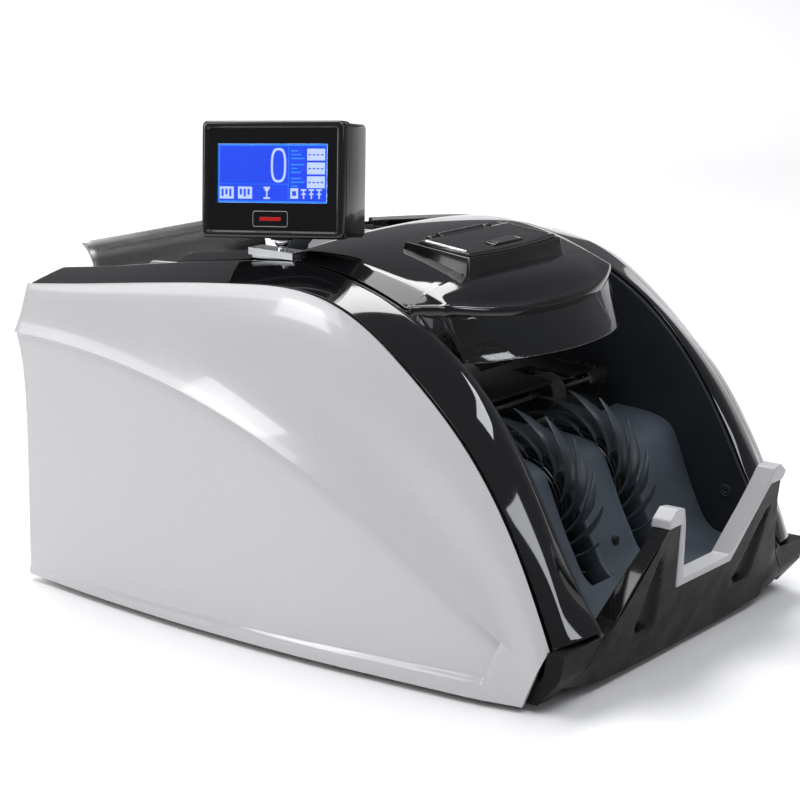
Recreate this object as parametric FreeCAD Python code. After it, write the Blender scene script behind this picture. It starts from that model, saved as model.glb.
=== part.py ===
"""Banknote counter: housing, stacker, feed train, flip-up cover, keypad and swivel display.

Millimetres. X runs across the machine, -Y is the front, +Z is up, and the feet stand on Z = 0.
"""
import FreeCAD, Part
import math
import os

V = FreeCAD.Vector
AXIS_X, AXIS_Y, AXIS_Z = V(1, 0, 0), V(0, 1, 0), V(0, 0, 1)

# Overall housing
EDGE_X = 128.8           # half width at the side panels' top edge
BAND_X = 98.4            # half width at the inner edge of the gloss side bands
WALL_IN, WALL_OUT = 95.0, 98.0      # inner side walls
PLATE_IN, PLATE_OUT = 101.0, 103.0  # steel side plates
SKIN = 3.0               # moulded wall thickness
FOOT_H = 4.0
TRAY_TOP = 6.5
PANEL_BOTTOM = 3.7
BELLY = 15.0             # how far the side panels bulge at mid length

# Side view of the panel's top edge, from the rear over the top to the front tip
EDGE = [(191.8, 176.5), (119.5, 185.4), (50.3, 193.8), (13.0, 196.8), (-12.3, 196.3),
        (-49.2, 183.4), (-80.2, 161.2), (-115.0, 128.7), (-140.4, 93.3), (-168.4, 33.9)]
CHIN = (-157.1, PANEL_BOTTOM)
# Side view of the gloss band's inner edge
BAND = [(191.8, 181.5), (128.6, 190.7), (50.9, 201.8), (2.1, 203.6), (-32.8, 195.1),
        (-87.4, 166.6), (-115.0, 139.1), (-137.6, 105.9), (-156.6, 71.3), (-179.0, 37.6)]

# Stacker
CHAMBER_FLOOR = 38.0
# Side view of the chamber liner, from the front of its floor over the hump to the note path
LINER = [(-166.6, CHAMBER_FLOOR), (-140.0, CHAMBER_FLOOR), (-132.5, 43.5), (-121.0, 64.0), (-107.0, 95.0),
         (-94.5, 101.3), (-68.0, 104.0)]
WHEEL_Y, WHEEL_Z = -85.9, 74.0
WHEEL = (WHEEL_Y, WHEEL_Z)
WHEEL_R, WHEEL_X, WHEEL_W = 52.7, 27.9, 11.0
BLADES = 16
# One spiral blade: radius and turn in degrees of each corner, along its outer face and back inside
BLADE = ((28.5, 10.5), (33.5, -2.5), (38.5, -17.5), (45.0, -35.5), (WHEEL_R, -52.5),
         (51.0, -52.5), (42.6, -35.5), (36.0, -17.5), (31.0, -2.5), (28.0, 6.5))
SENSOR_Z = 53.0
STOP_LEAN = 26.0 / 86.0  # the stop leans forward by this much per unit of height
STOP_FOOT_Y = -171.2
U_LOW, U_HIGH = (29.5, 44.6), (49.0, 84.0)     # corners of the stop's finger notch
FOOT_DEPTH, ARM_DEPTH = 13.5, 9.5

# Feed train: (Y, Z) of each shaft
SHAFT_R = 4.0
RUN_FIT = 0.05
FEED = (2.0, 113.0)
PICKUP = (40.0, 120.0)
TRANSPORT = (-40.0, 112.0)
RETARD = (2.0, 138.8)
RETARD_R = 10.0
MAIN_MOTOR = (75.0, 55.0)
STACKER_MOTOR = (-25.0, 45.0)
BEARING_R = 8.0

# Chassis: (Y, Z) of the bars between the side plates, and the main board with its fixing holes
CROSS_BARS = ((130.0, 75.0), (130.0, 110.0), (-60.0, 20.0), (-15.0, 80.0))
BOARD_Z = 14.0
BOARD_HOLES = ((-88, -38), (-88, 63), (8, -38), (8, 63))

# Back panel: ranges of the inlet and the switch, centres of the round sockets and the rocker
INLET_X, INLET_Z = (-88.0, -60.0), (26.0, 48.0)
SWITCH_X, SWITCH_Z = (-48.0, -28.0), (24.0, 50.0)
FUSE_AT, SOCKET_AT = (-8.0, 37.0), (40.0, 37.0)
ROCKER_AT = (186.0, 37.0)

# Hopper
FLOOR_REAR, FLOOR_FRONT = (185.0, 150.0), (18.0, 130.2)
GUIDE_X = 79.5

# Cover
COVER_X = 94.6
COVER_HINGE = (102.0, 184.0)
COVER_REAR_Y = 26.0
COVER_FRONT_Y = -69.0
COVER_BOW = 21.0
RAIL_IN = 84.0
CROWN_REAR, CROWN_RISE = 8.0, 10.0   # crown at the rear edge, and what it gains by the keypad's front

# Keypad, in its own tilted frame with the lid's top face at z = 0
PAD_AT = V(0, -39.0, 212.0)
PAD_TILT = 6.0
KEY_PITCH, KEY_W, KEY_D = 18.0, 12.0, 8.0
KEYS = ["mode", "add", "clear", "start"]
LID_PIN = (19.0, -1.3)

# Display, in its own frame with the tilt pivot at the origin and its screen facing -Y
BALL_AT = V(-92.0, 33.5, 214.0)
BALL_R = 4.2
NECK_R, NECK_DEPTH = 3.0, 8.5
BRACKET_TOP = -5.0      # below the ball, clear of the display's tilted rear edge
DISPLAY_W, DISPLAY_H = 85.0, 63.0
DISPLAY_FACE, DISPLAY_SPLIT, DISPLAY_BACK = -14.0, -5.0, 15.0   # depths of its front, seam and back
DISPLAY_BASE = 1.2
DISPLAY_TOP = DISPLAY_BASE + DISPLAY_H
DISPLAY_YAW, DISPLAY_LEAN, DISPLAY_ROLL = -78.0, -8.0, -3.5

nodes = {}


def box(x0, x1, y0, y1, z0, z1):
    return Part.makeBox(x1 - x0, y1 - y0, z1 - z0, V(x0, y0, z0))


def rod_x(yz, r, x0, x1):
    return Part.makeCylinder(r, x1 - x0, V(x0, yz[0], yz[1]), AXIS_X)


def rod_y(x, z, r, y0, y1):
    return Part.makeCylinder(r, y1 - y0, V(x, y0, z), AXIS_Y)


def rod_z(x, y, r, z0, z1):
    return Part.makeCylinder(r, z1 - z0, V(x, y, z0), AXIS_Z)


def mirror(shape):
    return shape.mirror(V(0, 0, 0), AXIS_X)


def join(shapes):
    return shapes[0].fuse(shapes[1:]).removeSplitter()


def group(shapes):
    return Part.makeCompound(shapes)


def polygon(points):
    return Part.makePolygon(points + [points[0]])


def prism_yz(points, x0, x1):
    face = Part.Face(polygon([V(x0, y, z) for y, z in points]))
    return face.extrude(V(x1 - x0, 0, 0))


def curve_yz(points, x):
    spline = Part.BSplineCurve()
    spline.interpolate([V(x, y, z) for y, z in points])
    return spline.toShape()


def inset(points, distance):
    """Move a side-view curve towards the inside of the housing."""
    moved = []
    for i, (y, z) in enumerate(points):
        y0, z0 = points[max(i - 1, 0)]
        y1, z1 = points[min(i + 1, len(points) - 1)]
        length = math.hypot(y1 - y0, z1 - z0)
        moved.append((y + distance * (z0 - z1) / length, z - distance * (y0 - y1) / length))
    return moved


def height_on(points, y):
    """Height of a side-view curve at a given Y, by straight lines between its points."""
    for (ya, za), (yb, zb) in zip(points, points[1:]):
        if yb <= y <= ya:
            return zb + (za - zb) * (y - yb) / (ya - yb)
    return points[0][1] if y > points[0][0] else points[-1][1]


def spline_outline(points, lower, x0, x1):
    """A prism along X under a side-view curve, closed by straight lines."""
    top = curve_yz(points, x0)
    ends = [points[-1]] + lower + [points[0]]
    below = Part.makePolygon([V(x0, y, z) for y, z in ends])
    return Part.Face(Part.Wire([top] + below.Edges)).extrude(V(x1 - x0, 0, 0))


def pair(name, right):
    """A right-hand piece and its mirror image, each in its own node."""
    nodes["right_" + name] = right
    nodes["left_" + name] = mirror(right)


def both(right):
    """A right-hand piece and its mirror image in one node."""
    return group([right, mirror(right)])


# ---------------------------------------------------------------- housing

def side_x(y, z):
    """Outer surface of the right side panel."""
    drop = max(height_on(EDGE, y) - z, 0.0)
    reach = (y - 30.0) / (165.0 if y > 30.0 else 250.0)
    belly = max(1.0 - 0.9 * reach * reach, 0.0)
    return EDGE_X + 3.0 * (1.0 - math.exp(-drop / 12.0)) + BELLY * belly * (drop / 190.0) ** 0.8


def side_panel():
    rows = [[V(side_x(y, z), y, z) for z in range(-10, 221, 23)] for y in range(-190, 211, 40)]
    surface = Part.BSplineSurface()
    surface.interpolate(rows)
    sheet = surface.toShape().extrude(V(-SKIN, 0, 0))
    return sheet.common(spline_outline(EDGE, [CHIN, (190.7, PANEL_BOTTOM)], 100, 170))


def side_band():
    outer = inset(EDGE, 0.3)
    sections = []
    for x, line in ((EDGE_X - SKIN - 0.4, outer), (BAND_X, BAND)):
        under = inset(line, SKIN)
        top, bottom = curve_yz(line, x), curve_yz(under, x)
        start = Part.makeLine(V(x, *line[0]), V(x, *under[0]))
        end = Part.makeLine(V(x, *line[-1]), V(x, *under[-1]))
        sections.append(Part.Wire([top, end, bottom, start]))
    return Part.makeLoft(sections, True, True)


def inner_wall():
    top = inset(BAND, 0.8)
    lower = [(-172.5, CHAMBER_FLOOR), (-62.0, CHAMBER_FLOOR), (-62.0, 125.0), (186.0, 125.0)]
    wall = spline_outline(top, lower, WALL_IN, WALL_OUT)
    wall = wall.common(box(90, 100, -200, 185.8, 0, 250))
    wall = wall.cut(rod_x(WHEEL, 6.0, 90, 100))
    return wall.cut(rod_x(COVER_HINGE, 2.5 + RUN_FIT, 90, 100))


def front_corner():
    sections = []
    for x, foot_y in ((92.0, -169.6), (130.8, -162.8)):
        side = [(-169.4, 32.9), (-178.6, 35.8), (-176.0, 20.0), (foot_y, 4.2), (-157.9, 4.2)]
        sections.append(polygon([V(x, y, z) for y, z in side]))
    return Part.makeLoft(sections, True, True)


def base_tray():
    half, front = 124.0, -156.6
    tray = box(-half, half, front, 185.6, FOOT_H, 16)
    tray = tray.cut(box(-half + 2.5, half - 2.5, front + 2.5, 183.1, TRAY_TOP, 20))
    return join([tray] + [rod_z(x, y, 3.2, FOOT_H, BOARD_Z) for x, y in BOARD_HOLES])


def feet():
    return group([rod_z(sx * 108, y, 9, 0, FOOT_H) for sx in (-1, 1) for y in (-140, 168)])


def rear_cover():
    cover = box(-124.5, 124.5, 186, 189, TRAY_TOP, 168)
    cover = cover.cut(box(-78.6, 78.6, 180, 195, 150.5, 170))
    cover = cover.cut(box(*INLET_X, 180, 195, *INLET_Z))
    cover = cover.cut(box(*SWITCH_X, 180, 195, *SWITCH_Z))
    cover = cover.cut(rod_y(*FUSE_AT, 6.0, 180, 195)).cut(rod_y(*SOCKET_AT, 7.0, 180, 195))
    for row in range(6):
        z = 92.0 + 9.0 * row
        cover = cover.cut(box(20, 100, 180, 195, z, z + 3.5))
    return cover


def power_inlet():
    body = box(-87.8, -60.2, 168, 189.2, 26.2, 47.8)
    flange = box(-92, -56, 189.0, 191.0, 22, 52)
    shell = join([body, flange]).cut(box(-84.8, -63.2, 172, 192, 29.2, 44.8))
    blades = [box(x - 1, x + 1, 172.0, 187, z - 2, z + 2) for x, z in ((-80, 34), (-74, 40), (-68, 34))]
    return join([shell] + blades)


def power_switch():
    body = box(-47.8, -28.2, 172, 191.0, 24.2, 49.8)
    rim = box(-50, -26, 189.0, 191.0, 22, 52)
    shell = join([body, rim]).cut(box(-45.5, -30.5, 176, 195, 27.0, 47.0))
    return shell.cut(rod_x(ROCKER_AT, 1.5 + RUN_FIT, -47.1, -28.9))


def power_rocker():
    profile = [(191.4, 28.4), (190.6, 37.0), (193.4, 45.6), (184.4, 45.6), (181.0, 37.0), (184.4, 28.4)]
    return join([prism_yz(profile, -45.0, -31.0), rod_x(ROCKER_AT, 1.5, -46.9, -29.1)])


def rear_sockets():
    """Fuse holder and round data socket."""
    fuse = join([rod_y(*FUSE_AT, 5.9, 165, 189), rod_y(*FUSE_AT, 8.0, 189, 192.5)])
    socket = join([rod_y(*SOCKET_AT, 6.9, 176, 189), rod_y(*SOCKET_AT, 9.0, 189, 190.8)])
    return group([fuse, socket.cut(rod_y(*SOCKET_AT, 4.5, 179, 195))])


def housing_screws():
    heads = []
    for sx in (-1, 1):
        for z in (70.0, 150.0):
            heads.append(rod_y(sx * 112, z, 4.0, 189, 191.2))
        for y in (-110.0, 130.0):
            heads.append(rod_z(sx * 80, y, 4.5, 1.8, FOOT_H))
    return group(heads)


# ---------------------------------------------------------------- stacker mouth

def stop_y(z):
    """Front surface of the leaning stop at a given height."""
    return STOP_FOOT_Y - STOP_LEAN * (z - 6.0)


def leaning_prism(points, front, depth):
    face = Part.Face(polygon([V(x, stop_y(z) + front, z) for x, z in points]))
    return face.extrude(V(0, depth, 0))


def both_sides(half):
    return half + [(-x, z) for x, z in reversed(half)]


def stacker_stop():
    foot = [(91.6, 4.2), (91.6, 35.5), (84.0, 44.0)]
    arm = foot + [(61.5, 86.0), (U_HIGH[0] + 0.3, 86.0), (U_LOW[0] + 0.3, U_LOW[1] - 0.2)]
    feet_bar = leaning_prism(both_sides(foot), 0, FOOT_DEPTH)
    return join([feet_bar, leaning_prism(both_sides(arm), 0, ARM_DEPTH)])


def stop_trim():
    half = [U_LOW, (U_HIGH[0], 86.3), (62.0, 86.3), (63.5, 91.5), (57.0, 96.5), (49.5, 95.5), (45.0, 86.5),
            (25.2, 49.4)]
    lining = leaning_prism(both_sides(half), -0.6, 11.5)
    return lining.common(box(-100, 100, -198, -150, 0, 120))


def chamber_liner():
    under = [(y + 1.4, z - 2.3) for y, z in LINER]
    liner = prism_yz(LINER + under[::-1], -94.6, 94.6)
    for sx in (-1, 1):
        x = sx * WHEEL_X
        liner = liner.cut(box(x - 8.5, x + 8.5, -139.0, -60.0, 30, 130))
    sensor = rod_y(0, SENSOR_Z, 2.5, -160, -105)
    return liner.cut(sensor)


def note_sensors():
    """One sensor in the stacker's back wall and two under the note path."""
    eyes = [box(sx * 12 - 5, sx * 12 + 5, -34, -22, 114, 121.6) for sx in (-1, 1)]
    return group([rod_y(0, SENSOR_Z, 2.4, -129.0, -116.0)] + eyes)


def impeller_wheel(x):
    ring = rod_x(WHEEL, 30.0, x - WHEEL_W / 2, x + WHEEL_W / 2)
    blades = []
    for i in range(BLADES):
        start = 2 * math.pi * i / BLADES
        corners = []
        for radius, turn in BLADE:
            angle = start + math.radians(turn)
            y, z = WHEEL_Y + radius * math.cos(angle), WHEEL_Z + radius * math.sin(angle)
            corners.append(V(x - 3.5, y, z))
        blades.append(Part.Face(polygon(corners)).extrude(V(7.0, 0, 0)))
    return join([ring] + blades).cut(rod_x(WHEEL, SHAFT_R, x - 20, x + 20))


def pulley(at, radius, x0, x1, bore=SHAFT_R):
    return rod_x(at, radius, x0, x1).cut(rod_x(at, bore, x0 - 1, x1 + 1))


def rubber_tyres(at, radius, centres, width):
    rings = [pulley(at, radius, x - width / 2, x + width / 2) for x in centres]
    return group(rings)


def belt(a, ra, b, rb, x0, x1):
    """A flat belt 1.2 mm thick around two pulleys, with a hair of running clearance."""
    def loop(grow):
        pa, pb = V(x0, *a), V(x0, *b)
        span = pb.sub(pa)
        length = span.Length
        along = V(span).normalize()
        across = AXIS_X.cross(along)
        big, small = ra + grow, rb + grow
        sine = (big - small) / length
        cosine = math.sqrt(1 - sine * sine)
        points = []
        for side in (1, -1):
            normal = along * sine + across * (side * cosine)
            points.append((pa + normal * big, pb + normal * small))
        edges = [Part.makeLine(points[0][0], points[0][1]),
                 Part.Arc(points[0][1], pb + along * small, points[1][1]).toShape(),
                 Part.makeLine(points[1][1], points[1][0]),
                 Part.Arc(points[1][0], pa - along * big, points[0][0]).toShape()]
        return Part.Face(Part.Wire(edges)).extrude(V(x1 - x0, 0, 0))
    return loop(1.3).cut(loop(0.1))


# ---------------------------------------------------------------- frame and drive

def side_plate():
    outline = [(-125, TRAY_TOP), (150, TRAY_TOP), (150, 150), (60, 160), (0, 163), (-40, 152),
               (-80, 122), (-120, 78)]
    plate = prism_yz(outline, PLATE_IN, PLATE_OUT)
    for at in (WHEEL, FEED, PICKUP, TRANSPORT):
        plate = plate.cut(rod_x(at, BEARING_R, 90, 110))
    for at in (MAIN_MOTOR, STACKER_MOTOR):
        plate = plate.cut(rod_x(at, 5.0, 90, 110))
    for at in CROSS_BARS:
        plate = plate.cut(rod_x(at, 3.0, 90, 110))
    return plate


def cross_bars():
    bars = []
    for at in CROSS_BARS:
        bars.append(join([rod_x(at, 5.0, -PLATE_IN, PLATE_IN), rod_x(at, 3.0, -105, 105)]))
    return group(bars)


def bearings():
    rings = []
    for at in (WHEEL, FEED, PICKUP, TRANSPORT):
        ring = pulley(at, BEARING_R, 99.6, 104.4, SHAFT_R + RUN_FIT)
        rings += [ring, mirror(ring)]
    return group(rings)


def motor(at, radius, x0, x1):
    body = rod_x(at, radius, x0, x1)
    boss = rod_x(at, 5.0, x1, x1 + 3.5)
    end_bell = rod_x(at, radius * 0.6, x0 - 6, x0)
    return join([body, boss, end_bell]).cut(rod_x(at, 3.0 + RUN_FIT, x0 + 10, x1 + 10))


def motor_spindle(at, x0, x1):
    return rod_x(at, 3.0, x0, x1)


def main_board():
    board = box(-95, 15, -45, 70, BOARD_Z, 15.6)
    for x, y in BOARD_HOLES:
        board = board.cut(rod_z(x, y, 1.8, 10, 20))
    parts = [board, box(-70, -52, -10, 8, 15.6, 18.5), box(-30, -2, 30, 44, 15.6, 27),
             box(-60, -46, 40, 60, 15.6, 24), rod_z(-20, -20, 8, 15.6, 36), rod_z(-40, -25, 6, 15.6, 30)]
    return group(parts)


def power_supply():
    core = box(-88, -14, 92, 158, TRAY_TOP, 58)
    coil = box(-76, -26, 86, 92, 14, 50)
    return group([core, coil])


# ---------------------------------------------------------------- hopper

def hopper_floor():
    path = [FLOOR_REAR, FLOOR_FRONT]
    under = [(y, z - 2.5) for y, z in reversed(path)]
    floor = prism_yz(path + under, -94.6, 94.6)
    for sx in (-1, 1):
        floor = floor.cut(box(sx * 35 - 9.5, sx * 35 + 9.5, 22, 58, 120, 150))
        floor = floor.cut(box(*sorted((sx * 50, sx * 82)), 96, 104, 120, 160))
    return floor


def hopper_rear_plate():
    outer = [(184.0, 151.5), (186.4, 172.0), (189.0, 184.0), (198.0, 194.0)]
    top = [V(-78, y, z) for y, z in outer]
    back = [V(-78, y + 1.6, z - 0.6) for y, z in outer[:-1]] + [V(-78, 198.0, 192.0)]
    face = Part.Face(polygon(top + list(reversed(back))))
    return face.extrude(V(156, 0, 0))


def hopper_guide():
    """Right-hand guide; its tongue runs in the floor's cross slot."""
    def floor_z(y):
        return FLOOR_FRONT[1] + (FLOOR_REAR[1] - FLOOR_FRONT[1]) * (y - 18.0) / 167.0
    side = [(46, floor_z(46) + 0.6), (152, floor_z(152) + 0.6), (152, 176), (140, 189), (70, 193), (46, 176)]
    plate = prism_yz(side, GUIDE_X - 1.3, GUIDE_X + 1.3)
    tongue = box(GUIDE_X - 1.3, GUIDE_X + 1.3, 97, 103, floor_z(97) - 7, floor_z(97) + 4)
    return join([plate, tongue])


def path_plate():
    """Curved note path from the feed roller down to the stacker wheels."""
    path = [(-14.0, 126.0), (-30.0, 124.4), (-52.0, 123.0)]
    under = [(y, z - 2.0) for y, z in reversed(path)]
    plate = prism_yz(path + under, -94.0, 94.0)
    for sx in (-1, 1):
        plate = plate.cut(box(sx * 60 - 9, sx * 60 + 9, -56, -24, 110, 140))
    return plate


# ---------------------------------------------------------------- cover

def cover_z(x, y):
    """Top surface of the cover: the band's line plus a crown that grows to the front."""
    ahead = max(COVER_REAR_Y - y, 0.0)
    crown = CROWN_REAR + CROWN_RISE * min(ahead / 92.0, 1.1) ** 2
    return height_on(BAND, y) + crown * (1.0 - (abs(x) / 98.0) ** 4)


def cover_plan():
    front, mid = COVER_FRONT_Y, COVER_FRONT_Y - COVER_BOW
    right = [V(RAIL_IN, COVER_REAR_Y, 0), V(RAIL_IN, 108, 0), V(COVER_X, 108, 0), V(COVER_X, -52, 0),
             V(83.7, front, 0)]
    arc = Part.Arc(V(83.7, front, 0), V(0, mid, 0), V(-83.7, front, 0)).toShape()
    left = [V(-p.x, p.y, 0) for p in reversed(right)]
    wires = Part.makePolygon(right).Edges + [arc] + Part.makePolygon(left).Edges
    wires.append(Part.makeLine(left[-1], right[0]))
    return Part.Face(Part.Wire(wires))


def cover_sheet(depth):
    """The cover's surface carried down by a depth, before its outline is cut."""
    rows = [[V(x, y, cover_z(x, y)) for x in range(-110, 111, 20)] for y in range(-110, 131, 15)]
    surface = Part.BSplineSurface()
    surface.interpolate(rows)
    return surface.toShape().extrude(V(0, 0, -depth))


def top_cover():
    sheet = cover_sheet(SKIN)
    plan = cover_plan()
    plan.translate(V(0, 0, 120))
    skin = sheet.common(plan.extrude(V(0, 0, 120)))
    lug = box(88.0, 94.0, 95.0, 108.0, 177.5, 210.0).common(cover_sheet(40))
    skin = join([skin, lug, mirror(lug)])
    skin = skin.cut(pad_hole())
    pins = rod_x(COVER_HINGE, 2.5, 80, 100)
    return skin.cut(pins).cut(mirror(pins))


def hinge_pins():
    """Two pins for the cover and one for the keypad lid."""
    pin = rod_x(COVER_HINGE, 2.5, 87.0, 98.0)
    return group([pin, mirror(pin), pad_solid(rod_x(LID_PIN, 1.0, -30, 30))])


def visor():
    def band(front_y, bow, side):
        a, m, b = V(-side, front_y, 0), V(0, front_y - bow, 0), V(side, front_y, 0)
        return Part.Arc(a, m, b).toShape()
    sections = []
    for z, y, side in ((184.0, -66.5, 81.0), (159.4, -82.0, 79.5)):
        outer, inner = band(y, COVER_BOW, side), band(y + 2.0, COVER_BOW, side)
        wire = Part.Wire([outer, Part.makeLine(V(side, y, 0), V(side, y + 2.0, 0)), inner,
                          Part.makeLine(V(-side, y + 2.0, 0), V(-side, y, 0))])
        wire.translate(V(0, 0, z))
        sections.append(wire)
    return Part.makeLoft(sections, True, True).cut(nodes["top_cover"])


def retard_bracket():
    arms = []
    for sx in (-1, 1):
        arms.append(box(*sorted((sx * 15, sx * 18)), -4, 8, 132, 199))
    arms.append(box(-18, 18, -4, 8, 196, 199))
    bracket = join(arms)
    return bracket.cut(rod_x(RETARD, 2.0, -20, 20)).cut(nodes["top_cover"])


def retard_roller():
    return join([rod_x(RETARD, RETARD_R, -13, 13), rod_x(RETARD, 2.0, -19, 19)])


def pad_solid(shape):
    """Carry a solid from the keypad's tilted frame to the machine's frame."""
    moved = shape.copy()
    moved.rotate(V(0, 0, 0), AXIS_X, PAD_TILT)
    moved.translate(PAD_AT)
    return moved


def pad_hole():
    """The opening through the cover that takes the keypad."""
    return pad_solid(box(-42, 42, -15, 22.5, -40, 20))


def key_x(i):
    return (i - (len(KEYS) - 1) / 2.0) * KEY_PITCH


def keypad_bezel():
    def outline(half, front, back, z):
        return polygon([V(-half, front, z), V(half, front, z), V(half, back, z), V(-half, back, z)])
    base = Part.makeLoft([outline(49, -22, 25, -15.5), outline(45, -18.5, 24, -2.2)], True, True)
    bezel = base.cut(box(-41, 41, -14.5, 14.0, -6.2, 0))
    bezel = bezel.cut(box(-41, 41, -14.5, 14.0, -20, -8.2))
    for i in range(len(KEYS)):
        bezel = bezel.cut(box(key_x(i) - 2.3, key_x(i) + 2.3, -3.3, 1.3, -10, -5))
    for sx in (-1, 1):
        bezel = join([bezel, box(*sorted((sx * 24, sx * 30)), 17.0, 21.0, -6.0, 0.3)])
    bezel = bezel.cut(box(-22.5, 22.5, 15.6, 22.0, -4.6, 2))
    bezel = pad_solid(bezel.cut(rod_x(LID_PIN, 1.0, -31, 31)))
    return bezel.cut(cover_sheet(40).cut(pad_hole()))


def keypad_lid():
    plate = box(-43, 43, -17, 16.2, -2, 0)
    barrel = rod_x(LID_PIN, 2.2, -21.5, 21.5)
    web = box(-21.5, 21.5, 14, 19.0, -2, 0)
    badge = box(-14, 14, -13.5, -7.5, 0, 0.5)
    return join([plate, barrel, web, badge]).cut(rod_x(LID_PIN, 1.0 + RUN_FIT, -31, 31))


def keypad_board():
    return box(-40.8, 40.8, -14.3, 13.8, -13.4, -11.8)


def key(i):
    x = key_x(i)
    cap = box(x - KEY_W / 2, x + KEY_W / 2, -1 - KEY_D / 2, -1 + KEY_D / 2, -4.8, -2.9)
    stem = box(x - 2.0, x + 2.0, -3.0, 1.0, -10.0, -4.8)
    return join([cap, stem])


# ---------------------------------------------------------------- display

def display_solid(shape):
    moved = shape.copy()
    moved.rotate(V(0, 0, 0), AXIS_Y, DISPLAY_ROLL)
    moved.rotate(V(0, 0, 0), AXIS_X, DISPLAY_LEAN)
    moved.rotate(V(0, 0, 0), AXIS_Z, DISPLAY_YAW)
    moved.translate(BALL_AT)
    return moved


def display_bracket():
    block = box(-6, 6, -12.0, 19.0, -11.0, BRACKET_TOP)
    block.translate(BALL_AT)
    block = block.cut(box(-100, -COVER_X, 0, 80, 200, 205.2))
    post_hole = rod_z(BALL_AT.x, BALL_AT.y, NECK_R + RUN_FIT, BALL_AT.z - NECK_DEPTH, 230)
    block = block.cut(post_hole).cut(nodes["top_cover"])
    return max(block.Solids, key=lambda solid: solid.Volume)


def display_neck():
    stem = rod_z(BALL_AT.x, BALL_AT.y, NECK_R, BALL_AT.z - NECK_DEPTH, BALL_AT.z - 3.7)
    waist = rod_z(BALL_AT.x, BALL_AT.y, 2.3, BALL_AT.z - 4, BALL_AT.z)
    return join([stem, waist, Part.makeSphere(BALL_R, BALL_AT)])


def rounded_block(x, y0, y1, z0, z1, radius):
    block = box(-x, x, y0, y1, z0, z1)
    edges = [e for e in block.Edges if abs(e.Vertexes[0].Y - e.Vertexes[-1].Y) > 1]
    return block.makeFillet(radius, edges)


def display_front():
    front = rounded_block(DISPLAY_W / 2, DISPLAY_FACE, DISPLAY_SPLIT, DISPLAY_BASE, DISPLAY_TOP, 3)
    front = front.cut(box(-39, 39, DISPLAY_FACE + 2.5, 30, DISPLAY_BASE + 4, DISPLAY_TOP - 4))
    return front.cut(box(-36, 36, -20, 20, DISPLAY_BASE + 9, DISPLAY_TOP - 6))


def display_rear():
    half, top = DISPLAY_W / 2 - 1.5, DISPLAY_TOP - 1.5
    rear = rounded_block(half, DISPLAY_SPLIT, DISPLAY_BACK, DISPLAY_BASE, top, 3)
    rear = rear.cut(box(-39, 39, DISPLAY_SPLIT - 1, DISPLAY_BACK - 2.5, 11, DISPLAY_TOP - 4))
    boss = Part.makeCylinder(6.5, 4.0, V(0, 0, 0), AXIS_Z)
    boss = boss.common(box(-9, 9, DISPLAY_SPLIT + 0.2, DISPLAY_BACK, 0, 8))
    return join([rear, boss]).cut(Part.makeSphere(BALL_R + RUN_FIT))


def display_window():
    return box(-35.9, 35.9, DISPLAY_FACE + 0.4, DISPLAY_FACE + 2.3, DISPLAY_BASE + 9.1, DISPLAY_TOP - 6.1)


def display_lcd():
    glass = box(-33.5, 33.5, DISPLAY_FACE + 2.6, DISPLAY_FACE + 7, DISPLAY_BASE + 15, DISPLAY_TOP - 13)
    board = box(-37, 37, DISPLAY_FACE + 7, DISPLAY_FACE + 8.6, DISPLAY_BASE + 12, DISPLAY_TOP - 6)
    return join([glass, board])


# ---------------------------------------------------------------- assembly

pair("side_panel", side_panel())
pair("side_band", side_band())
nodes["inner_walls"] = both(inner_wall())
nodes["front_corners"] = both(front_corner())
nodes["side_plates"] = both(side_plate())
nodes["base_tray"] = base_tray()
nodes["rubber_feet"] = feet()
nodes["rear_cover"] = rear_cover()
nodes["power_inlet"] = power_inlet()
nodes["power_switch"] = power_switch()
nodes["power_rocker"] = power_rocker()
nodes["rear_sockets"] = rear_sockets()
nodes["housing_screws"] = housing_screws()
nodes["stacker_stop"] = stacker_stop()
nodes["stop_trim"] = stop_trim()
nodes["chamber_liner"] = chamber_liner()
nodes["note_sensors"] = note_sensors()

nodes["impeller_shaft"] = join([rod_x(WHEEL, SHAFT_R, -107, 116), rod_x(WHEEL, 14.0, 107, 113)])
nodes["impeller_wheels"] = group([impeller_wheel(sx * WHEEL_X) for sx in (-1, 1)])
nodes["stacker_motor"] = motor(STACKER_MOTOR, 16.0, 50, 99)
nodes["stacker_spindle"] = join([motor_spindle(STACKER_MOTOR, 62, 115), rod_x(STACKER_MOTOR, 7.0, 107, 113)])
nodes["stacker_belt"] = belt(WHEEL, 14.0, STACKER_MOTOR, 7.0, 108, 112)

nodes["feed_shaft"] = join([rod_x(FEED, SHAFT_R, -116, 121), rod_x(FEED, 16.0, 106, 112),
                            rod_x(FEED, 10.0, 114, 119), rod_x(FEED, 10.0, -113, -107)])
nodes["feed_rollers"] = rubber_tyres(FEED, 14.6, (-35, -8.5, 8.5, 35), 14)
nodes["pickup_shaft"] = join([rod_x(PICKUP, SHAFT_R, -116, 107), rod_x(PICKUP, 10.0, -113, -107)])
nodes["pickup_rollers"] = rubber_tyres(PICKUP, 14.0, (-35, 35), 15)
nodes["transport_shaft"] = join([rod_x(TRANSPORT, SHAFT_R, -107, 121), rod_x(TRANSPORT, 10.0, 114, 119)])
nodes["transport_rollers"] = rubber_tyres(TRANSPORT, 11.6, (-60, 60), 14)
nodes["main_motor"] = motor(MAIN_MOTOR, 26.0, 30, 99)
nodes["motor_spindle"] = join([motor_spindle(MAIN_MOTOR, 42, 114), rod_x(MAIN_MOTOR, 9.0, 106, 112)])
nodes["feed_belts"] = group([belt(FEED, 16.0, MAIN_MOTOR, 9.0, 107, 111),
                             belt(FEED, 10.0, TRANSPORT, 10.0, 114.5, 118.5),
                             belt(FEED, 10.0, PICKUP, 10.0, -112, -108)])
nodes["bearings"] = bearings()
nodes["cross_bars"] = cross_bars()
nodes["main_board"] = main_board()
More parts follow.
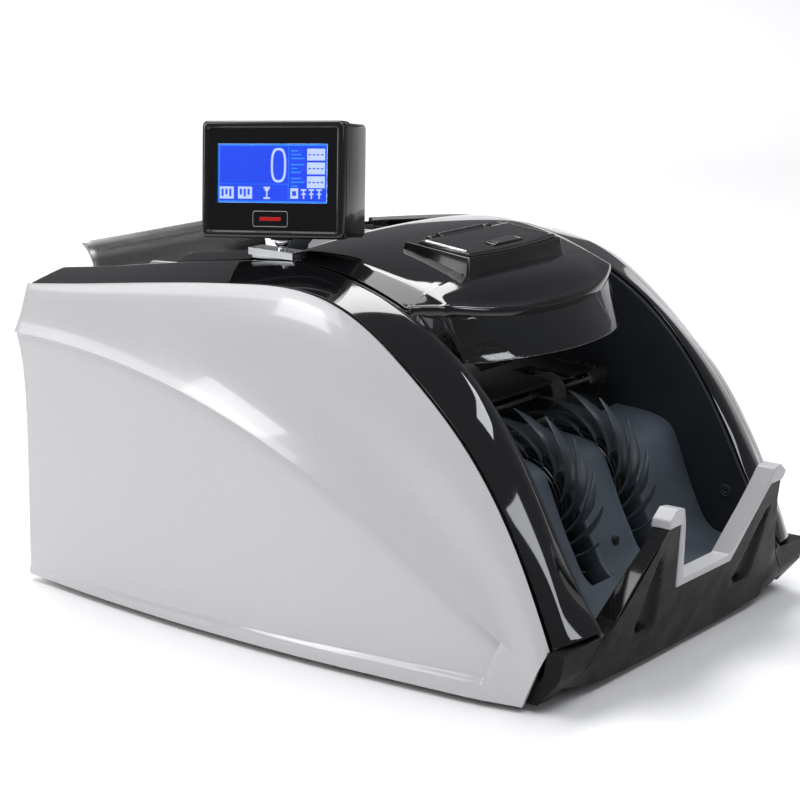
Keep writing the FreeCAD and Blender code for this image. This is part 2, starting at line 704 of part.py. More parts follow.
nodes["power_supply"] = power_supply()

nodes["hopper_floor"] = hopper_floor()
nodes["hopper_rear_plate"] = hopper_rear_plate()
pair("hopper_guide", hopper_guide())
nodes["path_plate"] = path_plate()

nodes["top_cover"] = top_cover()
nodes["hinge_pins"] = hinge_pins()
nodes["visor"] = visor()
nodes["retard_bracket"] = retard_bracket()
nodes["retard_roller"] = retard_roller()
nodes["keypad_bezel"] = keypad_bezel()
nodes["keypad_lid"] = pad_solid(keypad_lid())
nodes["keypad_board"] = pad_solid(keypad_board())
for number, name in enumerate(KEYS):
    nodes["key_" + name] = pad_solid(key(number))
nodes["display_bracket"] = display_bracket()
nodes["display_neck"] = display_neck()
for name, solid in (("front", display_front()), ("rear", display_rear()), ("window", display_window()),
                    ("lcd", display_lcd())):
    nodes["display_" + name] = display_solid(solid)

os.makedirs("parts", exist_ok=True)
for name, shape in nodes.items():
    shape.exportStep("parts/" + name + ".step")
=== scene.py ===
import math

import bmesh
import bpy
import numpy as np
from mathutils import Matrix, Vector
from mathutils.bvhtree import BVHTree


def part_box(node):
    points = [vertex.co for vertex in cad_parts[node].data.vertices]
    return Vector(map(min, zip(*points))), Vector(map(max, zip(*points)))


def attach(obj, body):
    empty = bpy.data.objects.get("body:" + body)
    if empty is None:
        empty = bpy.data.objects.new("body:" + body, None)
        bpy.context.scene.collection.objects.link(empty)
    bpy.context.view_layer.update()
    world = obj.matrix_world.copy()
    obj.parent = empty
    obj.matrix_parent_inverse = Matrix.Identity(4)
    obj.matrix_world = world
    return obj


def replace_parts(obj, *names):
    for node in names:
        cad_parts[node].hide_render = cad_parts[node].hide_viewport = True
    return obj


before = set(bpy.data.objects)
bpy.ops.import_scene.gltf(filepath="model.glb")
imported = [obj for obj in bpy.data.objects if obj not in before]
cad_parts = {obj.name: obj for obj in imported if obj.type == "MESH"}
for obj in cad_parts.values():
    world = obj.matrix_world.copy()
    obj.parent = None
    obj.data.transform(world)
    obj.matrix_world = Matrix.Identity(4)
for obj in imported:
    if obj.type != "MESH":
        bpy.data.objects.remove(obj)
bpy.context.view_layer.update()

MM = 0.001
BAND_X = 98.4 * MM          # half width at the inner edge of the gloss bands
PANEL_X = 128.8 * MM        # half width at the side panels' top edge
SIDES = (("right", 1), ("left", -1))


# ---------------------------------------------------------------- reading the frame

TREES = {}


def outermost(node, origin, direction):
    """The farthest point of a CAD node along a ray, or None."""
    if node not in TREES:
        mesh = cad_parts[node].data
        TREES[node] = BVHTree.FromPolygons([v.co for v in mesh.vertices],
                                           [tuple(p.vertices) for p in mesh.polygons])
    start, found = Vector(origin), None
    direction = Vector(direction).normalized()
    while True:
        hit = TREES[node].ray_cast(start, direction)[0]
        if hit is None:
            return found
        found, start = hit, hit + direction * 1e-5


def extreme(node, direction):
    """The vertex of a CAD node that lies farthest along a direction."""
    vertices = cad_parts[node].data.vertices
    return max((v.co for v in vertices), key=lambda co: co.dot(Vector(direction)))


def spline(points, samples):
    """Points along a natural cubic spline through a few points, evenly spaced."""
    p = np.array([tuple(q) for q in points], float)
    t = np.concatenate([[0], np.cumsum(np.linalg.norm(np.diff(p, axis=0), axis=1))])
    n, h = len(p), np.diff(t)
    a, b = np.eye(n), np.zeros_like(p)
    for i in range(1, n - 1):
        a[i, i - 1:i + 2] = h[i - 1], 2 * (h[i - 1] + h[i]), h[i]
        b[i] = 6 * ((p[i + 1] - p[i]) / h[i] - (p[i] - p[i - 1]) / h[i - 1])
    m = np.linalg.solve(a, b)

    def at(x):
        i = min(max(np.searchsorted(t, x) - 1, 0), n - 2)
        u, v = t[i + 1] - x, x - t[i]
        return ((m[i] * u ** 3 + m[i + 1] * v ** 3) / (6 * h[i])
                + (p[i] / h[i] - m[i] * h[i] / 6) * u + (p[i + 1] / h[i] - m[i + 1] * h[i] / 6) * v)

    fine = np.array([at(x) for x in np.linspace(0, t[-1], 600)])
    length = np.concatenate([[0], np.cumsum(np.linalg.norm(np.diff(fine, axis=0), axis=1))])
    even = np.linspace(0, length[-1], samples)
    return np.stack([np.interp(even, length, fine[:, k]) for k in range(p.shape[1])], axis=1)


def rim(node, x, samples, rays=15):
    """Side view (y, z) of a node's outer line at one x, from its rear over the top to its front tip."""
    rear, front = extreme(node, (0, 1, 1)), extreme(node, (0, -1, 0))
    centre = Vector((x, 20 * MM, 10 * MM))
    ends = [math.atan2(p.z - centre.z, p.y - centre.y) for p in (rear, front)]
    points = [(rear.y, rear.z)]
    for i in range(1, rays):
        angle = ends[0] + (ends[1] - ends[0]) * i / rays
        hit = outermost(node, centre, (0, math.cos(angle), math.sin(angle)))
        if hit is not None:
            points.append((hit.y, hit.z))
    return spline(points + [(front.y, front.z)], samples)


def height_at(curve, y):
    """Height of a side-view curve, whose y falls from its first point to its last."""
    return float(np.interp(-y, -curve[:, 0], curve[:, 1]))


def smooth(x, low=0.0, high=1.0):
    """0 below low, 1 above high, with a soft change between."""
    t = min(max((x - low) / (high - low), 0.0), 1.0)
    return t * t * (3 - 2 * t)


def spaced(*stops):
    """Values from (start, end, steps) runs, each next run starting where the last one ended."""
    values = [stops[0][0]]
    for start, end, steps in stops:
        values += [start + (end - start) * i / steps for i in range(1, steps + 1)]
    return values


# ---------------------------------------------------------------- materials

MATERIALS = {}


class Shader:
    """A Principled material with its own noise patterns, in object space."""

    def __init__(self, name, color, roughness, **settings):
        self.material = bpy.data.materials.new(name)
        self.material.use_nodes = True
        self.nodes, self.links = self.material.node_tree.nodes, self.material.node_tree.links
        self.shader = self.nodes["Principled BSDF"]
        self.place = self.nodes.new("ShaderNodeTexCoord").outputs["Object"]
        self.color, self.roughness = color, roughness
        self.height = None
        self.set("Base Color", (*color, 1))
        self.set("Roughness", roughness)
        for socket, value in settings.items():
            self.set(socket.replace("_", " "), value)
        MATERIALS[name] = self.material

    def set(self, socket, value):
        self.shader.inputs[socket].default_value = value

    def stretched(self, scale):
        mapping = self.nodes.new("ShaderNodeMapping")
        mapping.inputs["Scale"].default_value = scale
        self.links.new(self.place, mapping.inputs["Vector"])
        return mapping.outputs["Vector"]

    def noise(self, size, detail=2.0, stretch=None):
        node = self.nodes.new("ShaderNodeTexNoise")
        node.inputs["Scale"].default_value = 1 / size
        node.inputs["Detail"].default_value = detail
        self.links.new(self.stretched(stretch) if stretch else self.place, node.inputs["Vector"])
        return node.outputs["Fac"]

    def cells(self, size, stretch=None, feature="F1"):
        node = self.nodes.new("ShaderNodeTexVoronoi")
        node.feature = feature
        node.inputs["Scale"].default_value = 1 / size
        self.links.new(self.stretched(stretch) if stretch else self.place, node.inputs["Vector"])
        return node.outputs["Distance"]

    def ranged(self, value, low, high):
        """Spread the middle of a pattern over a range."""
        node = self.nodes.new("ShaderNodeMapRange")
        for socket, number in (("From Min", 0.3), ("From Max", 0.7), ("To Min", low), ("To Max", high)):
            node.inputs[socket].default_value = number
        self.links.new(value, node.inputs["Value"])
        return node.outputs["Result"]

    def tint(self, value, other, start=0.35, end=0.65):
        """Shade the base colour towards another one by a pattern."""
        ramp = self.nodes.new("ShaderNodeValToRGB")
        ramp.color_ramp.elements[0].position = start
        ramp.color_ramp.elements[0].color = (*self.color, 1)
        ramp.color_ramp.elements[1].position = end
        ramp.color_ramp.elements[1].color = (*other, 1)
        self.links.new(value, ramp.inputs["Fac"])
        self.links.new(ramp.outputs["Color"], self.shader.inputs["Base Color"])
        return self

    def uneven(self, value, spread):
        """Vary the roughness by a pattern."""
        low, high = self.roughness - spread, self.roughness + spread
        self.links.new(self.ranged(value, max(low, 0.02), high), self.shader.inputs["Roughness"])
        return self

    def bump(self, value, depth):
        """Raise the surface by a pattern, over any relief already there."""
        node = self.nodes.new("ShaderNodeBump")
        node.inputs["Strength"].default_value = 1.0
        node.inputs["Distance"].default_value = depth
        self.links.new(value, node.inputs["Height"])
        if self.height:
            self.links.new(self.height, node.inputs["Normal"])
        self.height = node.outputs["Normal"]
        self.links.new(self.height, self.shader.inputs["Normal"])
        return self


def lighter(color, factor):
    """The same colour, brighter or darker by a factor."""
    return tuple(min(c * factor, 1.0) for c in color)


def gloss(name, color, roughness=0.06, coat=0.6, flow=0.00001):
    """Polished moulding: faint flow waves and a few dull smudges."""
    made = Shader(name, color, roughness, Coat_Weight=coat, Coat_Roughness=0.03, Specular_IOR_Level=0.5)
    made.tint(made.noise(0.09), lighter(color, 1.25))
    made.uneven(made.noise(0.03, 4), roughness * 0.5)
    made.bump(made.noise(0.035, 0), flow)
    return made.bump(made.noise(0.0006, 1), 0.000001)


def moulded(name, color, roughness=0.5, grain=0.0005, depth=0.00002, sheen=1.3):
    """Spark-eroded moulding: an even fine grain, rubbed a little smoother in places."""
    made = Shader(name, color, roughness, Specular_IOR_Level=0.45)
    made.tint(made.noise(0.05, 3), lighter(color, sheen))
    made.uneven(made.noise(0.012, 4), 0.07)
    return made.bump(made.noise(grain, 3), depth)


def metal(name, color, roughness=0.28, stretch=(0.04, 1, 1), lines=0.0006, depth=0.000006):
    """Metal with fine drawing lines along one direction."""
    made = Shader(name, color, roughness, Metallic=1.0)
    made.tint(made.noise(0.03, 3), lighter(color, 0.82))
    made.uneven(made.noise(lines * 4, 3, stretch), 0.08)
    return made.bump(made.noise(lines, 2, stretch), depth)


def rubber(name, color, roughness=0.75):
    """Dull rubber with a fine grain, dusty in places."""
    made = Shader(name, color, roughness, Specular_IOR_Level=0.3)
    made.tint(made.noise(0.008, 4), lighter(color, 1.6))
    made.uneven(made.noise(0.004, 3), 0.08)
    return made.bump(made.noise(0.0004, 3), 0.00003)


def clear(name, color, roughness, tint_depth):
    """Clear or smoked moulding that light passes through."""
    made = Shader(name, color, roughness, Transmission_Weight=1.0, IOR=1.49, Coat_Weight=0.3,
                  Coat_Roughness=0.03)
    made.tint(made.noise(0.05, 2), lighter(color, tint_depth))
    made.uneven(made.noise(0.02, 4), roughness * 0.6)
    return made.bump(made.noise(0.03, 0), 0.00001)


def lit(name, color, strength):
    """Backlit liquid crystal: an even glow with a faint uneven backlight."""
    made = Shader(name, lighter(color, 0.5), 0.3, Emission_Strength=strength)
    ramp = made.nodes.new("ShaderNodeValToRGB")
    ramp.color_ramp.elements[0].color = (*lighter(color, 0.92), 1)
    ramp.color_ramp.elements[1].color = (*color, 1)
    made.links.new(made.noise(0.03, 1), ramp.inputs["Fac"])
    made.links.new(ramp.outputs["Color"], made.shader.inputs["Emission Color"])
    return made.bump(made.cells(0.0004), 0.000002)


def make_materials():
    """Every material that the pieces wear."""
    pearl = Shader("pearl_panel", (0.495, 0.495, 0.508), 0.20, Coat_Weight=0.6, Coat_Roughness=0.05)
    pearl.tint(pearl.cells(0.0005), (0.545, 0.545, 0.555), 0.2, 0.8)
    pearl.uneven(pearl.noise(0.05, 3), 0.04)
    pearl.bump(pearl.noise(0.04, 0), 0.00001).bump(pearl.noise(0.0005, 1), 0.000001)
    gloss("gloss_black", (0.0055, 0.0055, 0.0065))
    gloss("pad_black", (0.008, 0.008, 0.009), 0.16, 0.3)
    dark = moulded("dark_matte", (0.0062, 0.0052, 0.0052), 0.42, 0.0006, 0.00002)
    dark.set("Specular IOR Level", 0.10)
    base = moulded("base_black", (0.010, 0.010, 0.011), 0.6, 0.0009, 0.00004)
    base.set("Specular IOR Level", 0.25)
    moulded("grey_trim", (0.40, 0.40, 0.42), 0.42, 0.0006, 0.00001, 1.08)
    moulded("chamber_grey", (0.050, 0.062, 0.077), 0.40, 0.0006, 0.00002)
    moulded("wall_grey", (0.013, 0.015, 0.019), 0.42, 0.0006, 0.00002)
    clear("smoke_clear", (0.66, 0.67, 0.70), 0.02, 0.9)
    moulded("wheel_plastic", (0.040, 0.049, 0.060), 0.34, 0.0007, 0.000008)
    moulded("hub_plastic", (0.007, 0.008, 0.010), 0.30, 0.0007, 0.000008)
    metal("steel", (0.52, 0.53, 0.54), 0.32)
    metal("shaft_steel", (0.62, 0.63, 0.64), 0.18, (1, 0.05, 0.05), 0.0003)
    motor = moulded("motor_metal", (0.035, 0.035, 0.04), 0.38, 0.001, 0.00001)
    motor.set("Metallic", 0.6)
    rubber("roller_rubber", (0.035, 0.034, 0.034))
    rubber("foot_rubber", (0.02, 0.02, 0.02))
    rubber("belt_rubber", (0.03, 0.03, 0.032), 0.65)
    board = Shader("circuit_board", (0.01, 0.11, 0.035), 0.3, Coat_Weight=0.5)
    board.tint(board.cells(0.006, (1, 1, 0.01), "DISTANCE_TO_EDGE"), (0.02, 0.20, 0.06), 0.04, 0.09)
    board.uneven(board.noise(0.01, 2), 0.08).bump(board.cells(0.006, (1, 1, 0.01)), 0.00005)
    moulded("socket_black", (0.012, 0.012, 0.013), 0.42, 0.0005, 0.00001)
    metal("grey_sheet", (0.36, 0.355, 0.35), 0.30, (0.03, 1, 1), 0.0007, 0.000004)
    moulded("guide_grey", (0.46, 0.46, 0.47), 0.45, 0.0008, 0.00001, 1.08)
    metal("silver_block", (0.62, 0.63, 0.65), 0.26, (1, 0.04, 1), 0.0005)
    chrome = metal("chrome", (0.85, 0.86, 0.88), 0.07, (1, 1, 0.1), 0.0004, 0.000001)
    chrome.set("Coat Weight", 0.3)
    moulded("key_grey", (0.33, 0.34, 0.36), 0.45, 0.0004, 0.000006, 1.1)
    gloss("display_black", (0.006, 0.006, 0.0065), 0.13, 0.4)
    gloss("display_face", (0.0025, 0.0025, 0.003), 0.05, 0.3, 0.000001)
    clear("display_glass", (0.9, 0.92, 0.95), 0.02, 0.97)
    lit("lcd_blue", (0.004, 0.060, 0.86), 1.0)
    lit("lcd_border", (0.020, 0.26, 0.98), 1.0)
    lit("lcd_white", (0.62, 0.74, 1.0), 0.9)
    moulded("lcd_grey", (0.36, 0.36, 0.37), 0.4, 0.0004, 0.000004)
    gloss("pilot_red", (0.45, 0.01, 0.012), 0.12, 0.3)


# ---------------------------------------------------------------- mesh helpers

def piece(name, verts, faces, material, body, replaced=(), sharp=35):
    """A new mesh piece on a CAD body, smooth except where its faces meet at more than `sharp` degrees."""
    mesh = bpy.data.meshes.new(name)
    mesh.from_pydata([tuple(v) for v in verts], [], faces)
    bm = bmesh.new()
    bm.from_mesh(mesh)
    return finish_piece(name, mesh, bm, material, body, replaced, sharp)


def finish_piece(name, mesh, bm, material, body, replaced, sharp):
    """Join doubled points, smooth the faces, and put the piece on its CAD body."""
    bmesh.ops.remove_doubles(bm, verts=bm.verts, dist=2e-6)
    bmesh.ops.recalc_face_normals(bm, faces=bm.faces)
    for edge in bm.edges:
        turn = edge.calc_face_angle(0) if len(edge.link_faces) == 2 else 0
        edge.smooth = turn < math.radians(sharp)
    for face in bm.faces:
        face.smooth = True
    bm.to_mesh(mesh)
    bm.free()
    obj = bpy.data.objects.new(name, mesh)
    bpy.context.scene.collection.objects.link(obj)
    mesh.materials.append(MATERIALS[material])
    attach(obj, body)
    if replaced:
        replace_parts(obj, *replaced)
    return obj


def grid_faces(rows, columns, start=0, close=False):
    """Faces between neighbouring rows of points."""
    faces = []
    for i in range(rows - 1):
        for j in range(columns if close else columns - 1):
            k = (j + 1) % columns
            a, b = start + i * columns + j, start + i * columns + k
            faces.append((a, b, b + columns, a + columns))
    return faces


def ring_faces(rows, steps):
    """Faces of a closed tube whose last row joins its first."""
    last = (rows - 1) * steps
    ends = [(last + k, last + (k + 1) % steps, (k + 1) % steps, k) for k in range(steps)]
    return grid_faces(rows, steps, close=True) + ends


def prism_faces(n):
    """Two caps of n corners and the sides between them."""
    sides = [(k, (k + 1) % n, n + (k + 1) % n, n + k) for k in range(n)]
    return [tuple(range(n)), tuple(range(n, 2 * n))] + sides


def joined(parts):
    """Several parts, each one points and faces, as one."""
    verts, faces = [], []
    for made, sides in parts:
        faces += [tuple(k + len(verts) for k in face) for face in sides]
        verts += made
    return verts, faces


def mm(points):
    """Points given in millimetres, in metres."""
    return [tuple(c * MM for c in point) for point in points]


def arc(cx, cy, radius, start, sweep, steps):
    """Points along an arc of a circle, with its angles in degrees."""
    angles = [math.radians(start + sweep * k / steps) for k in range(steps + 1)]
    return [(cx + radius * math.cos(a), cy + radius * math.sin(a)) for a in angles]


def rounded_rect(x0, x1, y0, y1, radius, steps):
    """A rectangle with rounded corners, from its top right corner round to the left."""
    points = []
    for cx, cy, start in ((x1 - radius, y1 - radius, 0), (x0 + radius, y1 - radius, 90),
                          (x0 + radius, y0 + radius, 180), (x1 - radius, y0 + radius, 270)):
        points += arc(cx, cy, radius, start, 90, steps)
    return points


def turned(profile, steps):
    """Rows of points about a line: (along, across, up) from (along, radius) pairs."""
    angles = [2 * math.pi * k / steps for k in range(steps)]
    return [(along, r * math.cos(a), r * math.sin(a)) for along, r in profile for a in angles]


def modify(obj, kind, **settings):
    """Add a modifier with its settings."""
    modifier = obj.modifiers.new(kind.lower(), kind)
    for key, value in settings.items():
        setattr(modifier, key, value)


def rounded(obj, width, segments=2, angle=35):
    """Round an object's edges where its faces meet sharply."""
    modify(obj, "BEVEL", width=width, segments=segments, limit_method="ANGLE",
           angle_limit=math.radians(angle), use_clamp_overlap=True)
    modify(obj, "WEIGHTED_NORMAL", keep_sharp=False)


def shell(obj, thickness, edge=0.0, segments=2, angle=50):
    """Give a sheet its thickness, and soften its edges."""
    modify(obj, "SOLIDIFY", thickness=thickness, offset=-1)
    if edge:
        modify(obj, "BEVEL", width=edge, segments=segments, limit_method="ANGLE",
               angle_limit=math.radians(angle), use_clamp_overlap=True)


def dress(node, material, width):
    """A CAD node that keeps its shape: its material, and softly rounded edges."""
    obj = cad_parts[node]
    obj.data.materials.clear()
    obj.data.materials.append(MATERIALS[material])
    modify(obj, "WELD", merge_threshold=2e-6)
    if width:
        rounded(obj, width)


def cut_face(bm, spacing_x, spacing_z):
    """Cut a flat face in the XZ plane along evenly spaced lines, so that it can be bent."""
    low = [min(v.co[k] for v in bm.verts) for k in (0, 2)]
    high = [max(v.co[k] for v in bm.verts) for k in (0, 2)]
    for axis, spacing, a, b in ((0, spacing_x, low[0], high[0]), (2, spacing_z, low[1], high[1])):
        if not spacing:
            continue
        count = int((b - a) / spacing)
        for i in range(1, count + 1):
            at, normal = Vector((0, 0, 0)), Vector((0, 0, 0))
            at[axis], normal[axis] = a + (b - a) * i / (count + 1), 1
            bmesh.ops.bisect_plane(bm, geom=bm.verts[:] + bm.edges[:] + bm.faces[:], dist=1e-6,
                                   plane_co=at, plane_no=normal)


def slab(name, outline, front, depth, material, replaced=(), spacing=(0, 0), edge=0.8 * MM, segments=3):
    """A thick plate from an outline in the XZ plane, bent to a front surface y = front(x, z)."""
    mesh = bpy.data.meshes.new(name)
    bm = bmesh.new()
    bm.faces.new([bm.verts.new((x, 0, z)) for x, z in outline])
    cut_face(bm, *spacing)
    back = bmesh.ops.extrude_face_region(bm, geom=bm.faces[:])
    behind = {v for v in back["geom"] if isinstance(v, bmesh.types.BMVert)}
    for v in bm.verts:
        v.co.y = front(v.co.x, v.co.z) + (depth(v.co.x, v.co.z) if v in behind else 0.0)
    rounded(finish_piece(name, mesh, bm, material, "chassis", replaced, 30), edge, segments)


def mirrored(points):
    """A half outline, right side down, closed with its mirror image."""
    return list(points) + [(-x, z) for x, z in reversed(points) if abs(x) > 1e-9]


def lathe_x(name, profile, centre, material, body, steps):
    """A turned piece about a line along X: profile holds (x, radius) pairs."""
    verts = [(x, centre[0] + c, centre[1] + s) for x, c, s in turned(profile, steps)]
    faces = grid_faces(len(profile), steps, close=True)
    faces.append(tuple(range(steps)))
    faces.append(tuple(range(len(verts) - steps, len(verts))))
    piece(name, verts, faces, material, body)


# ---------------------------------------------------------------- housing

SAMPLES = 181
EDGE = rim("right_side_panel", 127.3 * MM, SAMPLES)      # top edge of the side panels
BAND = rim("right_side_band", 98.6 * MM, SAMPLES)        # inner edge of the gloss bands
PANEL_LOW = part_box("right_side_panel")[0].z
CHIN_Y = -157.1 * MM                                     # front end of the panel's bottom edge
FLARE = 5.5 * MM                                         # how far the panel's crease stands out
CREASE_REAR, CREASE_DROP = 149 * MM, 113 * MM
FIELD_FRONT = ((-144.7 * MM, 36.2 * MM), (-136.7 * MM, 13.5 * MM))


def panel_x(y, z):
    """The plain outer surface of the right side panel."""
    drop = max(height_at(EDGE, y) - z, 0.0) / MM
    reach = (y / MM - 30) / (165 if y > 30 * MM else 250)
    belly = max(1 - 0.9 * reach * reach, 0)
    return PANEL_X + (3 * (1 - math.exp(-drop / 12)) + 15 * belly * (drop / 190) ** 0.8) * MM


def crease_z(y):
    """The crease sweeps down from the rear edge to the front foot."""
    return CREASE_REAR - CREASE_DROP * (max(197 - y / MM, 0) / 342) ** 2.2


def panel_relief(y, z):
    """How far the styled surface stands out from the plain one, and how deep its sunken field is."""
    above, top = (z - crease_z(y)) / MM, (height_at(EDGE, y) - crease_z(y)) / MM
    front = (190 * MM - y) / (350 * MM)
    step = 1.5 + 2.3 * front
    tip = 1 - 0.75 * smooth(front, 0.9, 1.0)
    height = FLARE / MM * tip
    if above >= 0:
        fade = math.exp(-max(top, 1) / 18)
        out = height * (math.exp(-above / 18) - fade) / (1 - fade) if top > 1 else 0.0
        return out * MM
    shoulder = height * math.exp(above / 70)
    (ya, za), (yb, zb) = FIELD_FRONT
    limit = ya + (yb - ya) * (za - z) / (za - zb)
    inside = smooth(y, limit - 0.6 * MM, limit + 2.2 * MM)
    floor = (7 + 6 * front) * MM
    inside *= smooth(z, floor - 0.4 * MM, floor + 2.4 * MM)
    field = (height - step * smooth(-above, 0, 1.3)) * math.exp(above / 22)
    return (shoulder * (1 - inside) + field * inside) * MM


def panel_rows(top, bottom, crease):
    """Heights down one column of the panel, close together at the crease and at the field's foot."""
    if not bottom + 6 * MM < crease < top - 3 * MM:
        return [top + (bottom - top) * i / 60 for i in range(61)]
    near, low = 2.4 * MM, bottom + 16 * MM
    rows = spaced((top, crease + near, 22), (crease + near, crease - near, 14))
    middle = min(crease - near, max(low, bottom + 3 * MM))
    return rows + spaced((crease - near, middle, 14), (middle, bottom, 10))[1:]


def side_panel(side, sign):
    """Pearl panel, styled by a crease and a sunken field."""
    columns = spaced((0, 0.04, 6), (0.04, 0.86, 110), (0.86, 0.965, 44), (0.965, 1, 8))
    rear_low = 190.7 * MM
    verts = []
    for u in columns:
        k = u * (SAMPLES - 1)
        i = min(int(k), SAMPLES - 2)
        top_y, top_z = EDGE[i] + (EDGE[i + 1] - EDGE[i]) * (k - i)
        low_y = rear_low + (CHIN_Y - rear_low) * u
        guess = top_y
        for _ in range(6):
            guess = top_y + (low_y - top_y) * (top_z - crease_z(guess)) / (top_z - PANEL_LOW)
        for z in panel_rows(top_z, PANEL_LOW, crease_z(guess)):
            y = top_y + (low_y - top_y) * (top_z - z) / (top_z - PANEL_LOW)
            rear = max(1 - u / 0.05, 0) ** 2
            pull = 4 * MM * rear * math.exp(-abs(z - crease_z(y)) / (16 * MM))
            verts.append((sign * (panel_x(y, z) + panel_relief(y, z)), y + pull, z))
    faces = grid_faces(len(columns), 61)
    name = side + "_side_panel"
    obj = piece(name + "_skin", verts, faces, "pearl_panel", "chassis", replaced=[name], sharp=70)
    shell(obj, 3 * MM, 0.7 * MM, 3, 62)


def side_band(side, sign):
    """Piano-black band: nearly flat, with a shoulder that rolls over to its inner edge."""
    columns = spaced((0, 0.02, 2), (0.02, 0.95, 26), (0.95, 1, 6))
    outer_x = PANEL_X - 3.2 * MM
    verts = []
    for i in range(SAMPLES):
        u = i / (SAMPLES - 1)
        outer, inner = EDGE[i], BAND[i]
        along = EDGE[min(i + 1, SAMPLES - 1)] - EDGE[max(i - 1, 0)]
        normal = np.array([along[1], -along[0]]) / np.hypot(*along)
        shoulder = 0.93 - 0.23 * smooth(u, 0.5, 0.78) - 0.45 * smooth(u, 0.84, 1.0)
        height = (0.8 + 2.4 * smooth(u, 0.55, 0.9)) * MM
        for t in columns:
            if t < shoulder:
                lift = height * math.sin(t / shoulder * math.pi / 2)
            else:
                lift = height * math.cos((t - shoulder) / (1 - shoulder) * math.pi / 2) ** 0.9
            y, z = outer + (inner - outer) * t + normal * lift
            verts.append((sign * (outer_x + (BAND_X - outer_x) * t), y, z))
    faces = grid_faces(SAMPLES, len(columns))
    name = side + "_side_band"
    obj = piece(name + "_shell", verts, faces, "gloss_black", "chassis", replaced=[name], sharp=60)
    shell(obj, 2.6 * MM, 0.6 * MM, 3, 50)


def inner_walls():
    """Chamber walls under the bands, with the screw that holds each one."""
    wall_x, screw_x, rear = 97.9 * MM, 95 * MM, 185.6 * MM
    chamber_rear, chamber_front = -62 * MM, -150 * MM
    low, high, under_band, steps = 38 * MM, 125 * MM, 1.6 * MM, 120
    curve = [BAND[round(i * (SAMPLES - 1) / steps)] for i in range(steps + 1)]
    for side, sign in SIDES:
        verts = []
        for y, z in curve:
            y = min(y, rear)
            foot = low if y < chamber_rear else high
            if y < chamber_front:
                foot = low - 3 * MM
            top = z - under_band
            for t in (0, 0.02, 0.5, 1):
                verts.append((sign * wall_x, y, top + (foot - top) * t))
        obj = piece(side + "_inner_wall", verts, grid_faces(steps + 1, 4), "wall_grey", "chassis",
                    replaced=["inner_walls"] if sign > 0 else ())
        shell(obj, 2.9 * MM, 0.5 * MM, 2, 40)
        if obj.data.polygons[0].normal.x * sign < 0:
            obj.modifiers["solidify"].offset = 1
        screw_at = (-144.3 * MM, 63.2 * MM)
        x = sign * screw_x
        head = ((0, 0.1), (0.8, 1.2), (0.5, 2.4), (0.9, 3.1), (0.5, 3.9), (-0.4, 4.0))
        ring = [(x - sign * out * MM, radius * MM) for out, radius in head]
        lathe_x(side + "_wall_screw", ring, screw_at, "wall_grey", "chassis", 32)


# ---------------------------------------------------------------- front stop and stacker

LEAN = 26 / 86               # the stop leans forward by this much per unit of height
STOP_FOOT_Y = -171.2 * MM    # its front surface 6 mm above the counter
STOP_DEPTH, ARM_DEPTH = 13.5 * MM, 9.5 * MM


def stop_y(z):
    """The leaning front plane of the stop."""
    return STOP_FOOT_Y - LEAN * (z - 6 * MM)


def groove(x, z):
    """Depth of the styling groove beside each arm: a long leaf with a dimple at its foot."""
    x = abs(x)
    foot, height, leaf_depth, dimple_depth = 24 * MM, 50 * MM, 3.6 * MM, 2.2 * MM
    rise = (z - foot) / height
    if not 0 <= rise <= 1:
        return 0.0
    middle = (52 + 7 * rise) * MM
    half = (11.5 * (1 - rise) ** 0.85 + 0.3) * MM
    across = (x - middle) / half
    ends = smooth(rise, 0, 0.10) * (1 - smooth(rise, 0.75, 1))
    dimple = math.hypot((x - 54 * MM) / (5 * MM), (z - 27.5 * MM) / (2.4 * MM))
    return max(1 - across * across, 0) * leaf_depth * ends + dimple_depth * (1 - smooth(dimple, 0.3, 1.0))


def fascia_y(x, z):
    """Front surface of the stop, which turns back towards the panels at both ends."""
    low, knee, knee_y, lean = 4.2, 20, -176, 2.6
    x, height = abs(x), z / MM
    foot_y = -169.6 + 6.8 * max(x / MM - 92, 0) / 38.8
    if height < knee:
        outer = foot_y + (knee_y - foot_y) * (height - low) / (knee - low)
    else:
        outer = knee_y - lean * (height - knee) / (knee - low)
    t = smooth(x, 88 * MM, 97 * MM)
    return stop_y(z) * (1 - t) + outer * MM * t + groove(x, z)


def bottom_z(x):
    """The stop's lower edge, lowest in the middle."""
    return (3.9 + 7.6 * (abs(x) / (118 * MM)) ** 4) * MM


def stacker_stop():
    """The stop in front of the stacked notes: a foot, two arms and their ramps."""
    foot = [(x * MM, bottom_z(x * MM)) for x in range(0, 119, 6)]
    half = foot[1:] + mm([(118, 11.9), (107.6, 16.8), (100.5, 25.5), (91.5, 34.8), (89, 37.5), (84, 44),
                          (75.5, 58), (66.5, 74), (61.5, 86), (49.3, 86), (29.8, 44.4)])
    outline = [foot[0]] + half + [(-x, z) for x, z in reversed(half)]

    def depth(x, z):
        return ARM_DEPTH + (STOP_DEPTH - ARM_DEPTH) * (1 - smooth(z, 36 * MM, 48 * MM)) - groove(x, z)

    slab("stop_moulding", outline, fascia_y, depth, "dark_matte", replaced=["stacker_stop"],
         spacing=(2.2 * MM, 2.2 * MM), edge=0.9 * MM)
    for side, sign in SIDES:
        arm_side(side, sign)


